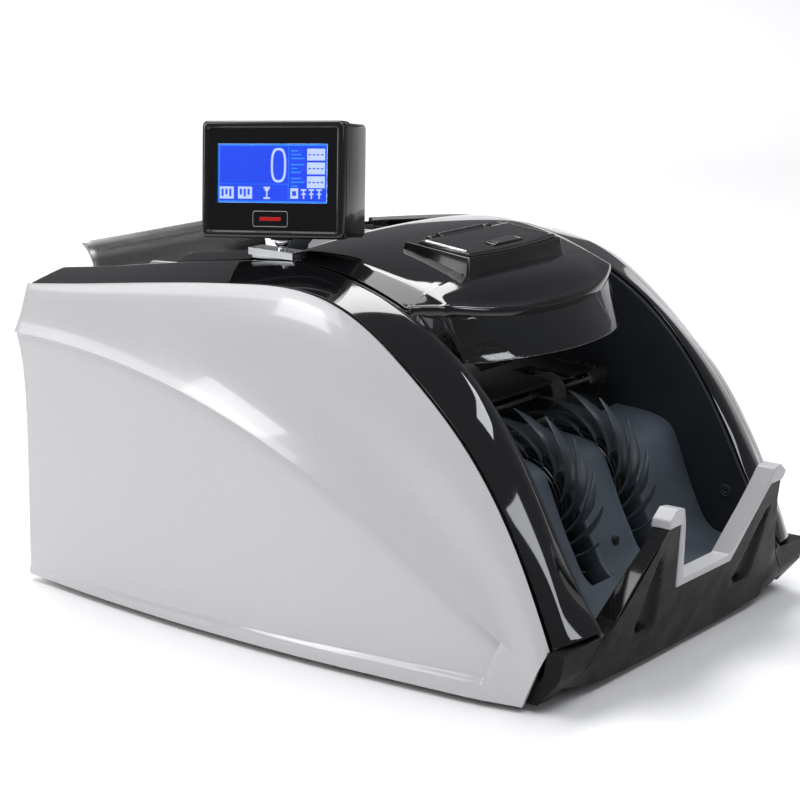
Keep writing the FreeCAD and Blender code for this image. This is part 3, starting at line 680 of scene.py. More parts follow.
def arm_side(side, sign):
    """Glossy ramp behind each arm, down to the corner."""
    top, foot = (61.5 * MM, 86 * MM), (88.5 * MM, 38.5 * MM)
    verts = []
    steps = 24
    for i in range(steps + 1):
        t = i / steps
        x = top[0] + (foot[0] - top[0]) * (t + 0.04 * math.sin(math.pi * t))
        z = top[1] + (foot[1] - top[1]) * t
        depth = (9.5 + 4 * t) * MM
        for k, drop in ((0.04, 0), (0.5, 0.4), (1, 1.2)):
            verts.append((sign * (x - 0.9 * MM), stop_y(z) + depth * k, z - drop * MM))
        verts.append((sign * (x - 6 * MM), stop_y(z) + depth, z - 2.5 * MM))
        verts.append((sign * (x - 6 * MM), stop_y(z) + 0.5 * depth, z - 2.5 * MM))
    faces = grid_faces(steps + 1, 5, close=True)
    obj = piece(side + "_stop_ramp", verts, faces, "gloss_black", "chassis")
    modify(obj, "BEVEL", width=0.8 * MM, segments=2, limit_method="ANGLE")


def stop_trim():
    """Light grey lining of the stop's U, with a bevelled cap on each arm."""
    half = mm([(29.5, 44.6), (49.0, 86.3), (62.0, 86.3), (63.5, 91.5), (57.0, 96.5), (49.5, 95.5),
               (45.0, 86.5), (25.2, 49.4)])
    proud, foremost, depth = 0.9 * MM, -198 * MM, 11.5 * MM
    slab("trim_lining", mirrored(half), lambda x, z: max(stop_y(z) - proud, foremost), lambda x, z: depth,
         "grey_trim", replaced=["stop_trim"], edge=1.0 * MM)


def front_corners():
    """Matte corner pieces between the stop, the bands and the side panels."""
    half = [(118.4, 11.6), (107.9, 17.1), (100.9, 25.9), (92.0, 35.3), (112, 34.6), (130.6, 33.6),
            (130.9, 20), (130.9, 4.4), (124, 6.0), (121, 8.8)]
    for side, sign in SIDES:
        outline = mm([(sign * x, z) for x, z in half])
        slab(side + "_corner_cap", outline, lambda x, z: fascia_y(x, z) - 0.05 * MM, lambda x, z: 10 * MM,
             "dark_matte", replaced=["front_corners"] if sign > 0 else (), spacing=(3 * MM, 3 * MM),
             edge=0.4 * MM, segments=2)


LINER_PATH = [(-166.6, 38), (-146, 38), (-139.5, 38.8), (-135.5, 41), (-131.5, 45.2), (-126.5, 54.2),
              (-121, 64.4), (-114, 79.8), (-108.8, 91.2), (-106.2, 95.6), (-101.5, 99.2), (-94.5, 101.6),
              (-84, 103), (-68, 104)]
WHEEL_AT = (-85.9 * MM, 74 * MM)
WHEEL_X = 27.9 * MM
SLOT_HALF = 8.5 * MM
SLOT_FRONT, SLOT_BACK = -138.5 * MM, -60 * MM


def liner_point(path, s, x):
    """The liner's profile, pulled forward beside the wheels as rounded humps."""
    y, z = path[s]
    flank = smooth(x, 37 * MM, 45 * MM) * (1 - 0.6 * smooth(x, 76 * MM, 92 * MM))
    near = smooth(-x, 37 * MM, 60 * MM)
    share = smooth(z, 50 * MM, 92 * MM)
    return y + (-4.0 * flank + 2.0 * near) * MM * share, z


def liner_flange(rows, x, name):
    """Side wall of a hump, turned in from the edge of a wheel slot."""
    verts = []
    kept = [i for i in range(len(rows)) if SLOT_FRONT <= rows[i][0] <= SLOT_BACK - 4 * MM]
    for i in kept:
        y, z = liner_point(rows, i, x)
        back = smooth(z, 36 * MM, 60 * MM)
        for k in (0.4, 6, 14):
            verts.append((x, y + k * 0.9 * MM * back, z - k * 0.9 * MM))
    obj = piece(name, verts, grid_faces(len(kept), 3), "chamber_grey", "chassis", sharp=50)
    shell(obj, 1.2 * MM, 0.3 * MM, 2, 50)
    obj.modifiers["solidify"].offset = 0


def chamber_liner():
    """Curved liner of the note chamber, with a slot and two flanges at each wheel."""
    rows = spline(mm(LINER_PATH), 90)
    inner, outer = WHEEL_X - SLOT_HALF, WHEEL_X + SLOT_HALF + 3.5 * MM
    slots = [(-outer, -inner), (inner, outer)]
    edges = [e for slot in slots for e in slot]
    xs = sorted({round(v, 6) for v in [*np.linspace(-94.6 * MM, 94.6 * MM, 61), *edges]})
    verts = [(x, *liner_point(rows, i, x)) for i in range(len(rows)) for x in xs]
    faces = []
    for i in range(len(rows) - 1):
        for j in range(len(xs) - 1):
            middle = (xs[j] + xs[j + 1]) / 2
            in_slot = any(a < middle < b for a, b in slots) and SLOT_FRONT < rows[i][0] < SLOT_BACK
            if not in_slot:
                a = i * len(xs) + j
                faces.append((a, a + 1, a + 1 + len(xs), a + len(xs)))
    obj = piece("liner_moulding", verts, faces, "chamber_grey", "chassis", replaced=["chamber_liner"],
                sharp=50)
    shell(obj, 2.4 * MM, 0.8 * MM, 3, 50)
    if obj.data.polygons[len(obj.data.polygons) // 2].normal.z < 0:
        obj.modifiers["solidify"].offset = 1
    for k, x in enumerate(edges):
        liner_flange(rows, x, f"liner_flange_{k + 1}")


BLADES = 16
SPIRAL = [(28.0, 10.5), (33.0, -2.5), (38.0, -17.5), (44.6, -35.5), (52.7, -52.5)]


def leaf(start, x):
    """One thin spiral blade, thickest at its root, that narrows from one side to its tip."""
    rows, taper_start = 26, 0.62
    radii, turns = zip(*SPIRAL)
    verts = []
    for i in range(rows + 1):
        t = i / rows
        turn = turns[0] + (turns[-1] - turns[0]) * t
        radius = np.interp(-turn, [-v for v in turns], radii)
        taper = max(t - taper_start, 0) / (1 - taper_start)
        left, right = -5.5 + 2.2 * taper ** 2, 5.5 - 7.6 * taper
        thick = 2.3 - 1.1 * t
        a = start + math.radians(turn)
        ring = ((left, -0.35), (left + 0.5, 0), (right - 0.5, 0), (right, -0.35), (right, 0.35 - thick),
                (right - 0.5, -thick), (left + 0.5, -thick), (left, 0.35 - thick))
        for across, out in ring:
            r = (radius + out) * MM
            verts.append((x + across * MM, WHEEL_AT[0] + r * math.cos(a), WHEEL_AT[1] + r * math.sin(a)))
    faces = grid_faces(rows + 1, 8, close=True)
    faces.append(tuple(range(8)))
    faces.append(tuple(range(rows * 8, rows * 8 + 8)))
    return verts, faces


def impeller_wheels():
    """Two wheels of spiral blades with their hubs."""
    starts = [2 * math.pi * i / BLADES for i in range(BLADES)]
    verts, faces = joined(leaf(start, x) for x in (-WHEEL_X, WHEEL_X) for start in starts)
    piece("wheel_blades", verts, faces, "wheel_plastic", "impeller", replaced=["impeller_wheels"], sharp=50)
    for side, sign in SIDES:
        wheel_hub(side, sign * WHEEL_X)


def wheel_hub(side, x):
    """Hub with the fine spiral ridges that carry the blades' roots."""
    profile = [(-5.5, 4.3), (-5.5, 9), (-4.6, 9.4), (-4.6, 12.5), (-5.4, 13)]
    ridges, first, pitch = 6, 14.5, 2.6
    for ring in range(ridges):
        r = first + pitch * ring
        profile += [(-5.4, r), (-4.7, r + 0.5), (-4.7, r + 1.6), (-5.4, r + 2.1)]
    profile += [(-5.0, 30.5), (-3.0, 31.2), (3.0, 31.2), (5.0, 30.5)]
    profile += [(-a, b) for a, b in reversed(profile[:-4])]
    profile = [(x + a * MM, b * MM) for a, b in profile]
    steps = 96
    verts = [(px, WHEEL_AT[0] + c, WHEEL_AT[1] + s) for px, c, s in turned(profile, steps)]
    piece(side + "_wheel_hub", verts, ring_faces(len(profile), steps), "hub_plastic", "impeller",
          sharp=30)


# ---------------------------------------------------------------- cover and visor

COVER_REAR, RAIL_END = 26 * MM, 108 * MM
COVER_X, RAIL_IN, SHOULDER_X = 94.4 * MM, 84 * MM, 82.5 * MM
CORNER_X, CORNER_Y, NOSE_Y, NOTCH_Y = 83.7 * MM, -69 * MM, -90 * MM, -52 * MM
CURL = 2.6 * MM


def front_edge(x):
    """Plan line of the cover's front edge: a wide bow with cut corners."""
    x = abs(x)
    if x > CORNER_X:
        return CORNER_Y + (NOTCH_Y - CORNER_Y) * (x - CORNER_X) / (COVER_X - CORNER_X)
    sag = CORNER_Y - NOSE_Y
    radius = (CORNER_X ** 2 + sag ** 2) / (2 * sag)
    return NOSE_Y + radius - math.sqrt(radius ** 2 - x ** 2)


def cover_z(x, y):
    """Nearly flat across the top, a soft shoulder, then a flank down to the bands."""
    reach, nose_reach, nose_drop = 92 * MM, 26 * MM, 3.5 * MM
    ahead = max(COVER_REAR - y, 0) / reach
    crown = (8 + 10 * min(ahead, 1.1) ** 2) * MM
    x = abs(x)
    top = 1 - 0.45 * (x / SHOULDER_X) ** 2.2
    nose = smooth(front_edge(x) + nose_reach - y, 0, nose_reach)
    crown -= nose_drop * nose ** 2 * (1 - smooth(x, 60 * MM, 84 * MM))
    flank = 0.55 * (COVER_X - x) / (COVER_X - SHOULDER_X) + 0.03
    soft = 0.035
    share = -soft * math.log(math.exp(-top / soft) + math.exp(-flank / soft))
    return height_at(BAND, y) + crown * share


def cover_columns():
    """Positions across the cover, close together at its shoulders."""
    half = [0, 7, 14, 21, 28, 35, 42, 49, 56, 62, 68, 73, 77, 79.5, 81, 82, 82.8, 83.7, 84, 85, 87, 89.5,
            92, 93.6]
    half = [v * MM for v in half] + [COVER_X]
    return [-v for v in reversed(half[1:])] + half


PAD_AT, PAD_TILT = Vector((0, -39.0 * MM, 212.0 * MM)), math.radians(6)
PAD_FRAME = Matrix.Translation(PAD_AT) @ Matrix.Rotation(PAD_TILT, 4, "X")
PAD_HOLE = (42 * MM, -53.9 * MM, -16.6 * MM)


def top_cover():
    """The cover's skin with the keypad's opening, a curled front edge, and a rail along each side."""
    xs = cover_columns()
    half, low, high = PAD_HOLE
    behind, beside, nose, curl = 10, 8, 12, 6
    ys = spaced((COVER_REAR, high, behind), (high, low, beside), (low, NOTCH_Y, 1))
    verts, faces = [], []
    for x in xs:
        column = [(x, y, cover_z(x, y)) for y in ys]
        stop = front_edge(x) + CURL
        if stop < NOTCH_Y:
            column += [(x, y, cover_z(x, y)) for y in spaced((NOTCH_Y, stop, nose))[1:]]
        else:
            column += [column[-1]] * nose
        edge = column[-1][2]
        start = min(stop, NOTCH_Y)
        for k in range(1, curl + 1):
            a = math.pi / 2 * k / curl
            column.append((x, start - CURL * math.sin(a), edge - CURL * (1 - math.cos(a))))
        column.append((x, start - CURL - 0.3 * MM, edge - CURL - 2.4 * MM))
        verts += column
    rows = len(ys) + nose + curl + 1
    for j in range(len(xs) - 1):
        for i in range(rows - 1):
            in_hole = abs(xs[j] + xs[j + 1]) / 2 < half and behind <= i < behind + beside
            if not in_hole:
                a = j * rows + i
                faces.append((a, a + 1, a + 1 + rows, a + rows))
    for _, sign in SIDES:
        rail_x = [sign * x for x in xs if x >= RAIL_IN - 1e-9]
        start = len(verts)
        rail_y = spaced((RAIL_END, COVER_REAR, 22))
        verts += [(x, y, cover_z(x, y)) for x in rail_x for y in rail_y]
        faces += grid_faces(len(rail_x), len(rail_y), start)
    obj = piece("cover_shell", verts, faces, "gloss_black", "cover", replaced=["top_cover"], sharp=60)
    shell(obj, 2.6 * MM, 0.45 * MM, 3, 55)
    for side, sign in SIDES:
        hinge_lug(side, sign)


def hinge_lug(side, sign):
    """Ear under each rail that turns on the cover's hinge pin."""
    y0, z0, radius = 102 * MM, 184 * MM, 6 * MM
    inner, outer = 88.2 * MM, 93.8 * MM
    under = np.linspace(math.pi, 2 * math.pi, 17)
    profile = [(y0 + radius * math.cos(a), z0 + radius * math.sin(a)) for a in under]
    top = cover_z(91 * MM, y0) - 1.5 * MM
    profile += [(y0 + radius, top), (y0 - radius, top)]
    verts = [(sign * x, y, z) for x in (inner, outer) for y, z in profile]
    faces = prism_faces(len(profile))
    rounded(piece(side + "_hinge_lug", verts, faces, "gloss_black", "cover"), 0.5 * MM)


def visor():
    """Smoked window under the cover's front edge, folded back at both ends."""
    top, bottom, bend, bow = 184.6, 159.4, 3.4, 21
    levels = [(top, -67.4, 81.6), (181, -69.6, 81.3), (172, -74.8, 80.6), (164, -79.4, 80.0),
              (160.4, -81.6, 79.7), (bottom, -82.0, 79.6)]
    verts = []
    for z, y, half in levels:
        row = []
        back = 15 - 6 * (top - z) / (top - bottom)
        for k in range(7):
            row.append((-half - 1.2, y + back + 3.2 - back * k / 6, z))
        for k in range(1, 6):
            a = math.pi / 2 * k / 6
            row.append((-half - 1.2 + bend * (1 - math.cos(a)), y + 3.2 - bend * math.sin(a), z))
        folded = len(row)
        for k in range(0, 41):
            x = (-half + 2.2) + (2 * half - 4.4) * k / 40
            row.append((x, y - bow * (1 - (x / half) ** 2), z))
        row += [(-x, y_back, z_back) for x, y_back, z_back in reversed(row[:folded])]
        verts += mm(row)
    faces = grid_faces(len(levels), len(verts) // len(levels))
    obj = piece("visor_window", verts, faces, "smoke_clear", "cover", replaced=["visor"], sharp=80)
    shell(obj, 1.8 * MM, 0.3 * MM, 2, 50)


# ---------------------------------------------------------------- keypad

BOW = 3.0                   # how far the keypad's front edges bow forward, in millimetres


def ring_points(half, front, back, radius, z):
    """A rectangle with a bowed front edge and rounded corners, as a loop at one height."""
    front_steps, corner_steps, inner = 24, 5, half - radius

    def y_front(x):
        return front - BOW * (1 - (x / half) ** 2)

    xs = [-inner + 2 * inner * k / front_steps for k in range(front_steps + 1)]
    low, high, bends = y_front(inner) + radius, back - radius, []
    for cx, cy, start in ((inner, low, -90), (inner, high, 0), (-inner, high, 90), (-inner, low, 180)):
        bends += arc(cx, cy, radius, start, 90, corner_steps)
    return mm([(x, y, z) for x, y in [(x, y_front(x)) for x in xs] + bends[1:-1]])


def stacked_rings(rings, closed=True):
    """Points and faces of a stack of equal rings, its last one closed if asked."""
    n = len(rings[0])
    verts = [p for ring in rings for p in ring]
    faces = grid_faces(len(rings), n, close=True)
    if closed:
        faces.append(tuple(range((len(rings) - 1) * n, len(rings) * n)))
    return verts, faces


def on_pad(verts):
    """Points of the keypad's own frame, in place on the cover."""
    return [PAD_FRAME @ Vector(v) for v in verts]


KEY_NAMES = ("mode", "add", "clear", "start")


def key_x(i):
    """Centre of a key along the row, in millimetres."""
    return (i - 1.5) * 18


def pad_block(name, corners, spans, material, body, edge, segments=2):
    """A small block on the keypad: (y, z) corners carried between two x values, in millimetres."""
    verts = mm([(x, y, z) for x in spans for y, z in corners])
    obj = piece(name, on_pad(verts), prism_faces(len(corners)), material, body)
    rounded(obj, edge, segments)


def keypad_bezel():
    """The raised frame round the keys, the floor they come through, and two ears for the lid's pin."""
    rings = [ring_points(*ring) for ring in (
        (49.6, -22.4, 25.0, 1.4, -15.5), (47.4, -20.6, 24.6, 1.3, -8.5), (45.7, -19.1, 24.2, 1.2, -2.3),
        (45.3, -18.8, 24.1, 1.1, -1.8), (44.8, -18.4, 24.0, 1.0, -1.6), (43.7, -17.6, 16.9, 0.9, -1.6),
        (43.5, -17.4, 16.7, 0.9, -1.9), (43.4, -17.3, 16.6, 0.9, -4.2), (41.5, -15.6, 14.6, 0.9, -4.2),
        (41.2, -15.2, 14.2, 0.9, -6.2))]
    verts, faces = stacked_rings(rings, closed=False)
    piece("keypad_surround", on_pad(verts), faces, "pad_black", "cover",
          replaced=["keypad_bezel"], sharp=28)
    xs = sorted([key_x(i) + side for i in range(len(KEY_NAMES)) for side in (-2.5, 2.5)] + [-41.8, 41.8])
    ys = [-18.6, -3.4, 1.4, 14.6]
    verts = mm([(x, y, -6.2) for y in ys for x in xs])
    faces = []
    for i in range(3):
        for j in range(len(xs) - 1):
            if not (i == 1 and j % 2 == 1):
                a = i * len(xs) + j
                faces.append((a, a + 1, a + 1 + len(xs), a + len(xs)))
    floor = piece("keypad_floor", on_pad(verts), faces, "pad_black", "cover")
    shell(floor, 1.6 * MM)
    for side, sign in SIDES:
        pad_block(side + "_lid_ear", ((17.2, -3), (17.2, 0.2), (20.8, 0.2), (20.8, -3)),
                  (sign * 23.4, sign * 30), "pad_black", "cover", 0.9 * MM, 3)


def keypad_lid():
    """The lid: a plate with rolled edges and a very slight crown, its barrel, trims and badge."""
    levels = ((2.2, -2.0), (0.2, -2.0), (0, -1.8), (0, -0.5), (0.15, -0.15), (0.5, 0))
    rings = [ring_points(43 - shrink, -17 + shrink, 16.2 - shrink, 0.8, z) for shrink, z in levels]
    rim_ring, crown = rings[-1], 0.35 * MM
    for k in range(1, 8):
        share = 1 - k / 8
        rings.append([(x * share, y * share, z + crown * (1 - share ** 2)) for x, y, z in rim_ring])
    verts, faces = stacked_rings(rings)
    faces.append(tuple(range(len(rings[0]))))
    piece("lid_plate", on_pad(verts), faces, "pad_black", "lid", replaced=["keypad_lid"],
          sharp=28)
    lid_barrel()
    trim_loop("lid_trim_left", -40.2, -13.4, 14.2)
    trim_loop("lid_trim_right", 40.2, -13.4, 14.2, "gloss_black", 0.12)
    badge()


def lid_barrel():
    """Barrel round the lid's pin, and the web that joins it to the lid."""
    steps, pin_y, pin_z = 24, 19.0, -1.3
    profile = [(-21.4, 1.2), (-21.4, 1.9), (-21.1, 2.2), (21.1, 2.2), (21.4, 1.9), (21.4, 1.2)]
    verts = mm([(x, pin_y + c, pin_z + s) for x, c, s in turned(profile, steps)])
    piece("lid_barrel", on_pad(verts), ring_faces(len(profile), steps), "pad_black", "lid",
          sharp=30)
    pad_block("lid_web", ((15.6, -2), (15.6, 0.02), (18.6, 0.3), (18.6, -2.4)), (-21, 21), "pad_black",
              "lid", 0.3 * MM)


def trim_loop(name, x, front, back, material="chrome", radius=0.28):
    """A long thin loop of bright line beside the lid's edge."""
    half, lift = 1.1, 0.14
    points = arc(x, front + half, half, 180, 180, 8) + arc(x, back - half, half, 0, 180, 8)
    loop = mm([(px, py, lift) for px, py in points])
    curve_loop(name, loop, radius * MM, material, "lid", PAD_FRAME)


def curve_loop(name, points, radius, material, body, place):
    """A closed bead of round section along a loop of points."""
    n, sides, verts = len(points), 8, []
    points = [Vector(p) for p in points]
    for i, p in enumerate(points):
        along = (points[(i + 1) % n] - points[i - 1]).normalized()
        across = along.cross(Vector((0, 0, 1))).normalized()
        up = across.cross(along)
        for k in range(sides):
            a = 2 * math.pi * k / sides
            verts.append(place @ (p + (across * math.cos(a) + up * math.sin(a)) * radius))
    piece(name, verts, ring_faces(n, sides), material, body, sharp=60)


def badge():
    """A plain raised plate with a fine rim and three ribs."""
    centre, rings = -10.8, []
    for w, h, radius, z in ((14, 3.6, 0.8, 0.1), (14, 3.6, 0.8, 0.75), (13.6, 3.2, 0.7, 0.95),
                            (13.1, 2.7, 0.6, 0.95), (12.9, 2.5, 0.5, 0.75)):
        outline = rounded_rect(-w, w, -h, h, radius, 4)
        rings.append(mm([(x, y + centre, z) for x, y in outline]))
    verts, faces = stacked_rings(rings)
    piece("lid_badge", on_pad(verts), faces, "display_black", "lid", sharp=25)
    for k in range(3):
        y = -12.3 + 1.5 * k
        pad_block(f"lid_badge_rib_{k + 1}", ((y - 0.3, 0.6), (y - 0.2, 1.0), (y + 0.2, 1.0), (y + 0.3, 0.6)),
                  (-9.5, 9.5), "chrome", "lid", 0.1 * MM)


def keys():
    """Dished key caps, each on a square stem."""
    centre_y, key_half, key_depth = -1, 6, 4
    levels = ((0, -4.8, 1.6), (0, -3.5, 1.6), (0.2, -3.1, 1.6), (0.7, -2.9, 1.6), (2.0, -3.05, 1.2),
              (3.2, -3.2, 0.5))
    for i, name in enumerate(KEY_NAMES):
        x, rings = key_x(i), []
        for shrink, z, radius in levels:
            w, h = key_half - shrink, key_depth - shrink
            outline = rounded_rect(-w, w, -h, h, radius, 6)
            rings.append(mm([(x + dx, centre_y + dy, z) for dx, dy in outline]))
        verts, faces = stacked_rings(rings)
        faces.append(tuple(range(len(rings[0]))))
        piece("key_cap_" + name, on_pad(verts), faces, "key_grey", "key_" + name,
              replaced=["key_" + name], sharp=40)
        corners = ((-2, -2), (2, -2), (2, 2), (-2, 2))
        stem = mm([(x + dx, centre_y + dy, z) for z in (-10, -4.6) for dx, dy in corners])
        rounded(piece("key_stem_" + name, on_pad(stem), prism_faces(4), "key_grey", "key_" + name),
                0.25 * MM)


# ---------------------------------------------------------------- display

BALL_AT = Vector((-92.0 * MM, 33.5 * MM, 214.0 * MM))
DISPLAY_YAW, DISPLAY_LEAN, DISPLAY_ROLL = math.radians(-78), math.radians(-8), math.radians(-3.5)
DISPLAY_FRAME = (Matrix.Translation(BALL_AT) @ Matrix.Rotation(DISPLAY_YAW, 4, "Z")
                 @ Matrix.Rotation(DISPLAY_LEAN, 4, "X") @ Matrix.Rotation(DISPLAY_ROLL, 4, "Y"))
SCREEN_BASE, SCREEN_W, SCREEN_H = 1.2, 85.0, 63.0
FACE_Y, SPLIT_Y, BACK_Y = -14.0, -5.0, 18.5
PANEL_Y = FACE_Y + 1.45             # front of the gloss panel round the screen
RING_POINTS = 28                    # points in every ring of the display
LCD_RAISED, LCD_TOP = 0.13, 0.26    # how far the marks stand in front of the liquid crystal
LCD = (-33.4, 32.6, 20.4, 51.6)     # left, right, bottom and top of the lit area


def frame_ring(grow, y, radius):
    """A rounded rectangle round the display at one depth, grown by an amount."""
    half, low, high = SCREEN_W / 2 + grow, SCREEN_BASE - grow, SCREEN_BASE + SCREEN_H + grow
    return mm([(x, y, z) for x, z in rounded_rect(-half, half, low, high, radius, 6)])


def on_display(verts):
    """Points of the display's own frame, in place on its neck."""
    return [DISPLAY_FRAME @ Vector(v) for v in verts]


def lcd_ring(grow, y):
    """The lit area's outline, grown by an amount, with as many points as a frame ring so that they join."""
    x0, x1, z0, z1 = LCD[0] - grow, LCD[1] + grow, LCD[2] - grow, LCD[3] + grow
    corners = ((x1, z1), (x0, z1), (x0, z0), (x1, z0))
    return mm([(x, y, z) for x, z in corners for _ in range(RING_POINTS // 4)])


def display_front():
    """The display's frame with its parting groove, and the gloss panel round the screen."""
    rings = [frame_ring(*ring) for ring in (
        (-1.2, SPLIT_Y + 0.2, 2.4), (0, SPLIT_Y, 3.0), (0, -8.6, 3.0), (-0.35, -8.9, 2.8),
        (-0.35, -9.4, 2.8), (0, -9.7, 3.0), (0, FACE_Y + 1.3, 3.0), (-0.35, FACE_Y + 0.55, 2.8),
        (-1.1, FACE_Y + 0.1, 2.4), (-1.9, FACE_Y, 2.0), (-3.0, FACE_Y + 0.15, 1.4),
        (-4.0, FACE_Y + 1.5, 0.9))]
    verts, faces = stacked_rings(rings, closed=False)
    piece("display_bezel", on_display(verts), faces, "display_black", "display", replaced=["display_front"])
    rings = [frame_ring(-3.9, PANEL_Y, 0.9), lcd_ring(0.3, PANEL_Y), lcd_ring(0.3, FACE_Y + 2.6)]
    verts, faces = stacked_rings(rings, closed=False)
    piece("display_face_panel", on_display(verts), faces, "display_face", "display",
          sharp=25)


def display_rear():
    """The display's back shell, the cup under it that holds the ball, and four screws."""
    rings = [frame_ring(*ring) for ring in (
        (-2.6, SPLIT_Y - 0.4, 2.0), (-1.5, SPLIT_Y + 0.1, 2.6), (-0.9, SPLIT_Y + 0.4, 2.8),
        (-0.9, BACK_Y - 2.2, 2.8), (-1.5, BACK_Y - 0.7, 2.6), (-3.2, BACK_Y, 2.0), (-9.0, BACK_Y, 1.6),
        (-9.6, BACK_Y - 0.6, 1.4))]
    verts, faces = stacked_rings(rings)
    piece("display_back_shell", on_display(verts), faces, "display_black", "display",
          replaced=["display_rear"], sharp=28)
    steps, profile = 40, ((2.4, 5.0), (2.4, 6.5), (0.7, 6.5), (0.2, 6.0), (0.2, 4.9), (1.0, 4.6))
    verts = mm([(x, max(y, SPLIT_Y + 0.2), z) for z, x, y in turned(profile, steps)])
    faces = grid_faces(len(profile), steps, close=True)
    piece("display_ball_cup", on_display(verts), faces, "display_black", "display", sharp=30)
    for k, (x, z) in enumerate(((-34, 9), (34, 9), (-34, 57), (34, 57))):
        screw_head(f"display_screw_{k + 1}", x, z)


def screw_head(name, x, z):
    """Countersunk screw with a cross recess on the display's back."""
    steps, recess, recess_radius = 24, 0.45, 1.4
    profile = ((0.1, 0.01), (0.05, 0.7), (-0.45, 1.0), (-0.5, 1.5), (-0.35, 1.9), (0.3, 2.1))
    verts = []
    for i, (y, c, s) in enumerate(turned(profile, steps)):
        in_cross = profile[i // steps][1] < recess_radius and i % steps % 6 in (0, 1)
        verts.append((x + c, BACK_Y - y - (recess if in_cross else 0.0), z + s))
    verts = mm(verts)
    faces = grid_faces(len(profile), steps, close=True)
    faces.append(tuple(range(steps)))
    piece(name, on_display(verts), faces, "steel", "display", sharp=30)


def display_window():
    """Clear window in front of the liquid crystal."""
    y = FACE_Y + 1.35
    verts, faces = stacked_rings([lcd_ring(0.25, y + 0.9), lcd_ring(0.25, y + 0.15), lcd_ring(0, y)])
    faces.append(tuple(range(RING_POINTS)))
    piece("screen_window", on_display(verts), faces, "display_glass", "display",
          replaced=["display_window"], sharp=25)


def tile(x0, x1, z0, z1, lift):
    """A thin raised tile on the liquid crystal, as corners and faces."""
    y = FACE_Y + 3.0 - lift
    corners = [(x, y - dy, z) for dy in (0, 0.12) for x, z in ((x0, z0), (x1, z0), (x1, z1), (x0, z1))]
    return mm(corners), prism_faces(4)


def tiles(name, boxes, material, lift):
    """Thin tiles on the liquid crystal, as one piece."""
    verts, faces = joined(tile(*box, lift) for box in boxes)
    return piece(name, on_display(verts), faces, material, "display", sharp=20)


def oval_digit():
    """The figure 0, as a tall rounded ring."""
    x, z, w, h, stroke = 3.3, 40.4, 4.6, 9.2, 1.25
    verts, faces, n = [], [], 48
    y = FACE_Y + 2.75
    for dy in (0, -0.12):
        for shrink in (0, stroke):
            for k in range(n):
                a = 2 * math.pi * k / n
                c, s = math.cos(a), math.sin(a)
                px = (w - shrink) * math.copysign(abs(c) ** 0.72, c)
                pz = (h - shrink) * math.copysign(abs(s) ** 0.72, s)
                verts.append(((x + px) * MM, (y + dy) * MM, (z + pz) * MM))
    for k in range(n):
        m = (k + 1) % n
        for a, b in ((2, 3), (0, 1), (0, 2), (1, 3)):
            faces.append((a * n + k, a * n + m, b * n + m, b * n + k))
    piece("lcd_digit", on_display(verts), faces, "lcd_white", "display", sharp=40)


def on_lcd(boxes):
    """Boxes given as shares of the screen (left, right, bottom, top), in millimetres."""
    x0, x1, z0, z1 = LCD
    wide, high = x1 - x0, z1 - z0
    return [(x0 + a * wide, x0 + b * wide, z0 + c * high, z0 + d * high) for a, b, c, d in boxes]


def lcd_fields():
    """Three value boxes down the right, with dashes in them and bars of print beside them."""
    boxes, dashes, marks = [], [], []
    for row in range(3):
        low = 0.725 - 0.235 * row
        boxes.append((0.815, 0.975, low, low + 0.2))
        for k in range(4):
            dash = 0.828 + 0.037 * k
            dashes.append((dash, dash + 0.022, low + 0.085, low + 0.107))
        for k in range(3):
            bar = low + 0.02 + 0.065 * k
            marks.append((0.67, 0.79 - 0.03 * ((k + row) % 3), bar, bar + 0.025))
    tiles("lcd_fields", on_lcd(boxes), "lcd_white", LCD_RAISED)
    tiles("lcd_dashes", on_lcd(dashes), "lcd_blue", LCD_TOP)
    tiles("lcd_field_marks", on_lcd(marks), "lcd_border", LCD_RAISED)


def lcd_icons():
    """Plain signs along the bottom: two blocks, a stand, a pane and three posts."""
    icons, holes = [], []
    for k in range(2):
        left = 0.015 + 0.17 * k
        icons.append((left, left + 0.13, 0.06, 0.27))
        for m in range(3):
            hole = left + 0.018 + 0.036 * m
            holes.append((hole, hole + 0.018, 0.1 + 0.03 * ((m + k) % 2), 0.23))
    stand, pane = 0.42, 0.665
    icons += [(stand, stand + 0.06, 0.24, 0.27), (stand, stand + 0.06, 0.06, 0.09),
              (stand + 0.024, stand + 0.036, 0.09, 0.24), (stand + 0.012, stand + 0.048, 0.2, 0.24)]
    icons.append((pane, pane + 0.07, 0.07, 0.25))
    holes.append((pane + 0.018, pane + 0.052, 0.12, 0.20))
    for k in range(3):
        post = pane + 0.095 + 0.07 * k
        icons += [(post, post + 0.05, 0.21, 0.235), (post + 0.019, post + 0.031, 0.07, 0.21),
                  (post + 0.004, post + 0.046, 0.14, 0.16)]
    tiles("lcd_icons", on_lcd(icons), "lcd_white", LCD_RAISED)
    tiles("lcd_icon_holes", on_lcd(holes), "lcd_blue", LCD_TOP)


def display_lcd():
    """The liquid crystal: its panel, a border, two rules, and the marks shown on it."""
    x0, x1, z0, z1 = LCD
    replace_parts(tiles("lcd_panel", [LCD], "lcd_blue", 0), "display_lcd")
    w, half_rule = 0.85, 0.12
    tiles("lcd_border", [(x0, x1, z1 - w, z1), (x0, x1, z0, z0 + w), (x0, x0 + w, z0 + w, z1 - w),
                         (x1 - w, x1, z0 + w, z1 - w)], "lcd_border", LCD_RAISED)
    left, base = x0 + 0.645 * (x1 - x0), z0 + 0.315 * (z1 - z0)
    tiles("lcd_rules", [(left - half_rule, left + half_rule, z0 + w, z1 - w),
                        (x0 + w, left, base - half_rule, base + half_rule)], "lcd_border", LCD_RAISED)
    lcd_fields()
    lcd_icons()
    oval_digit()


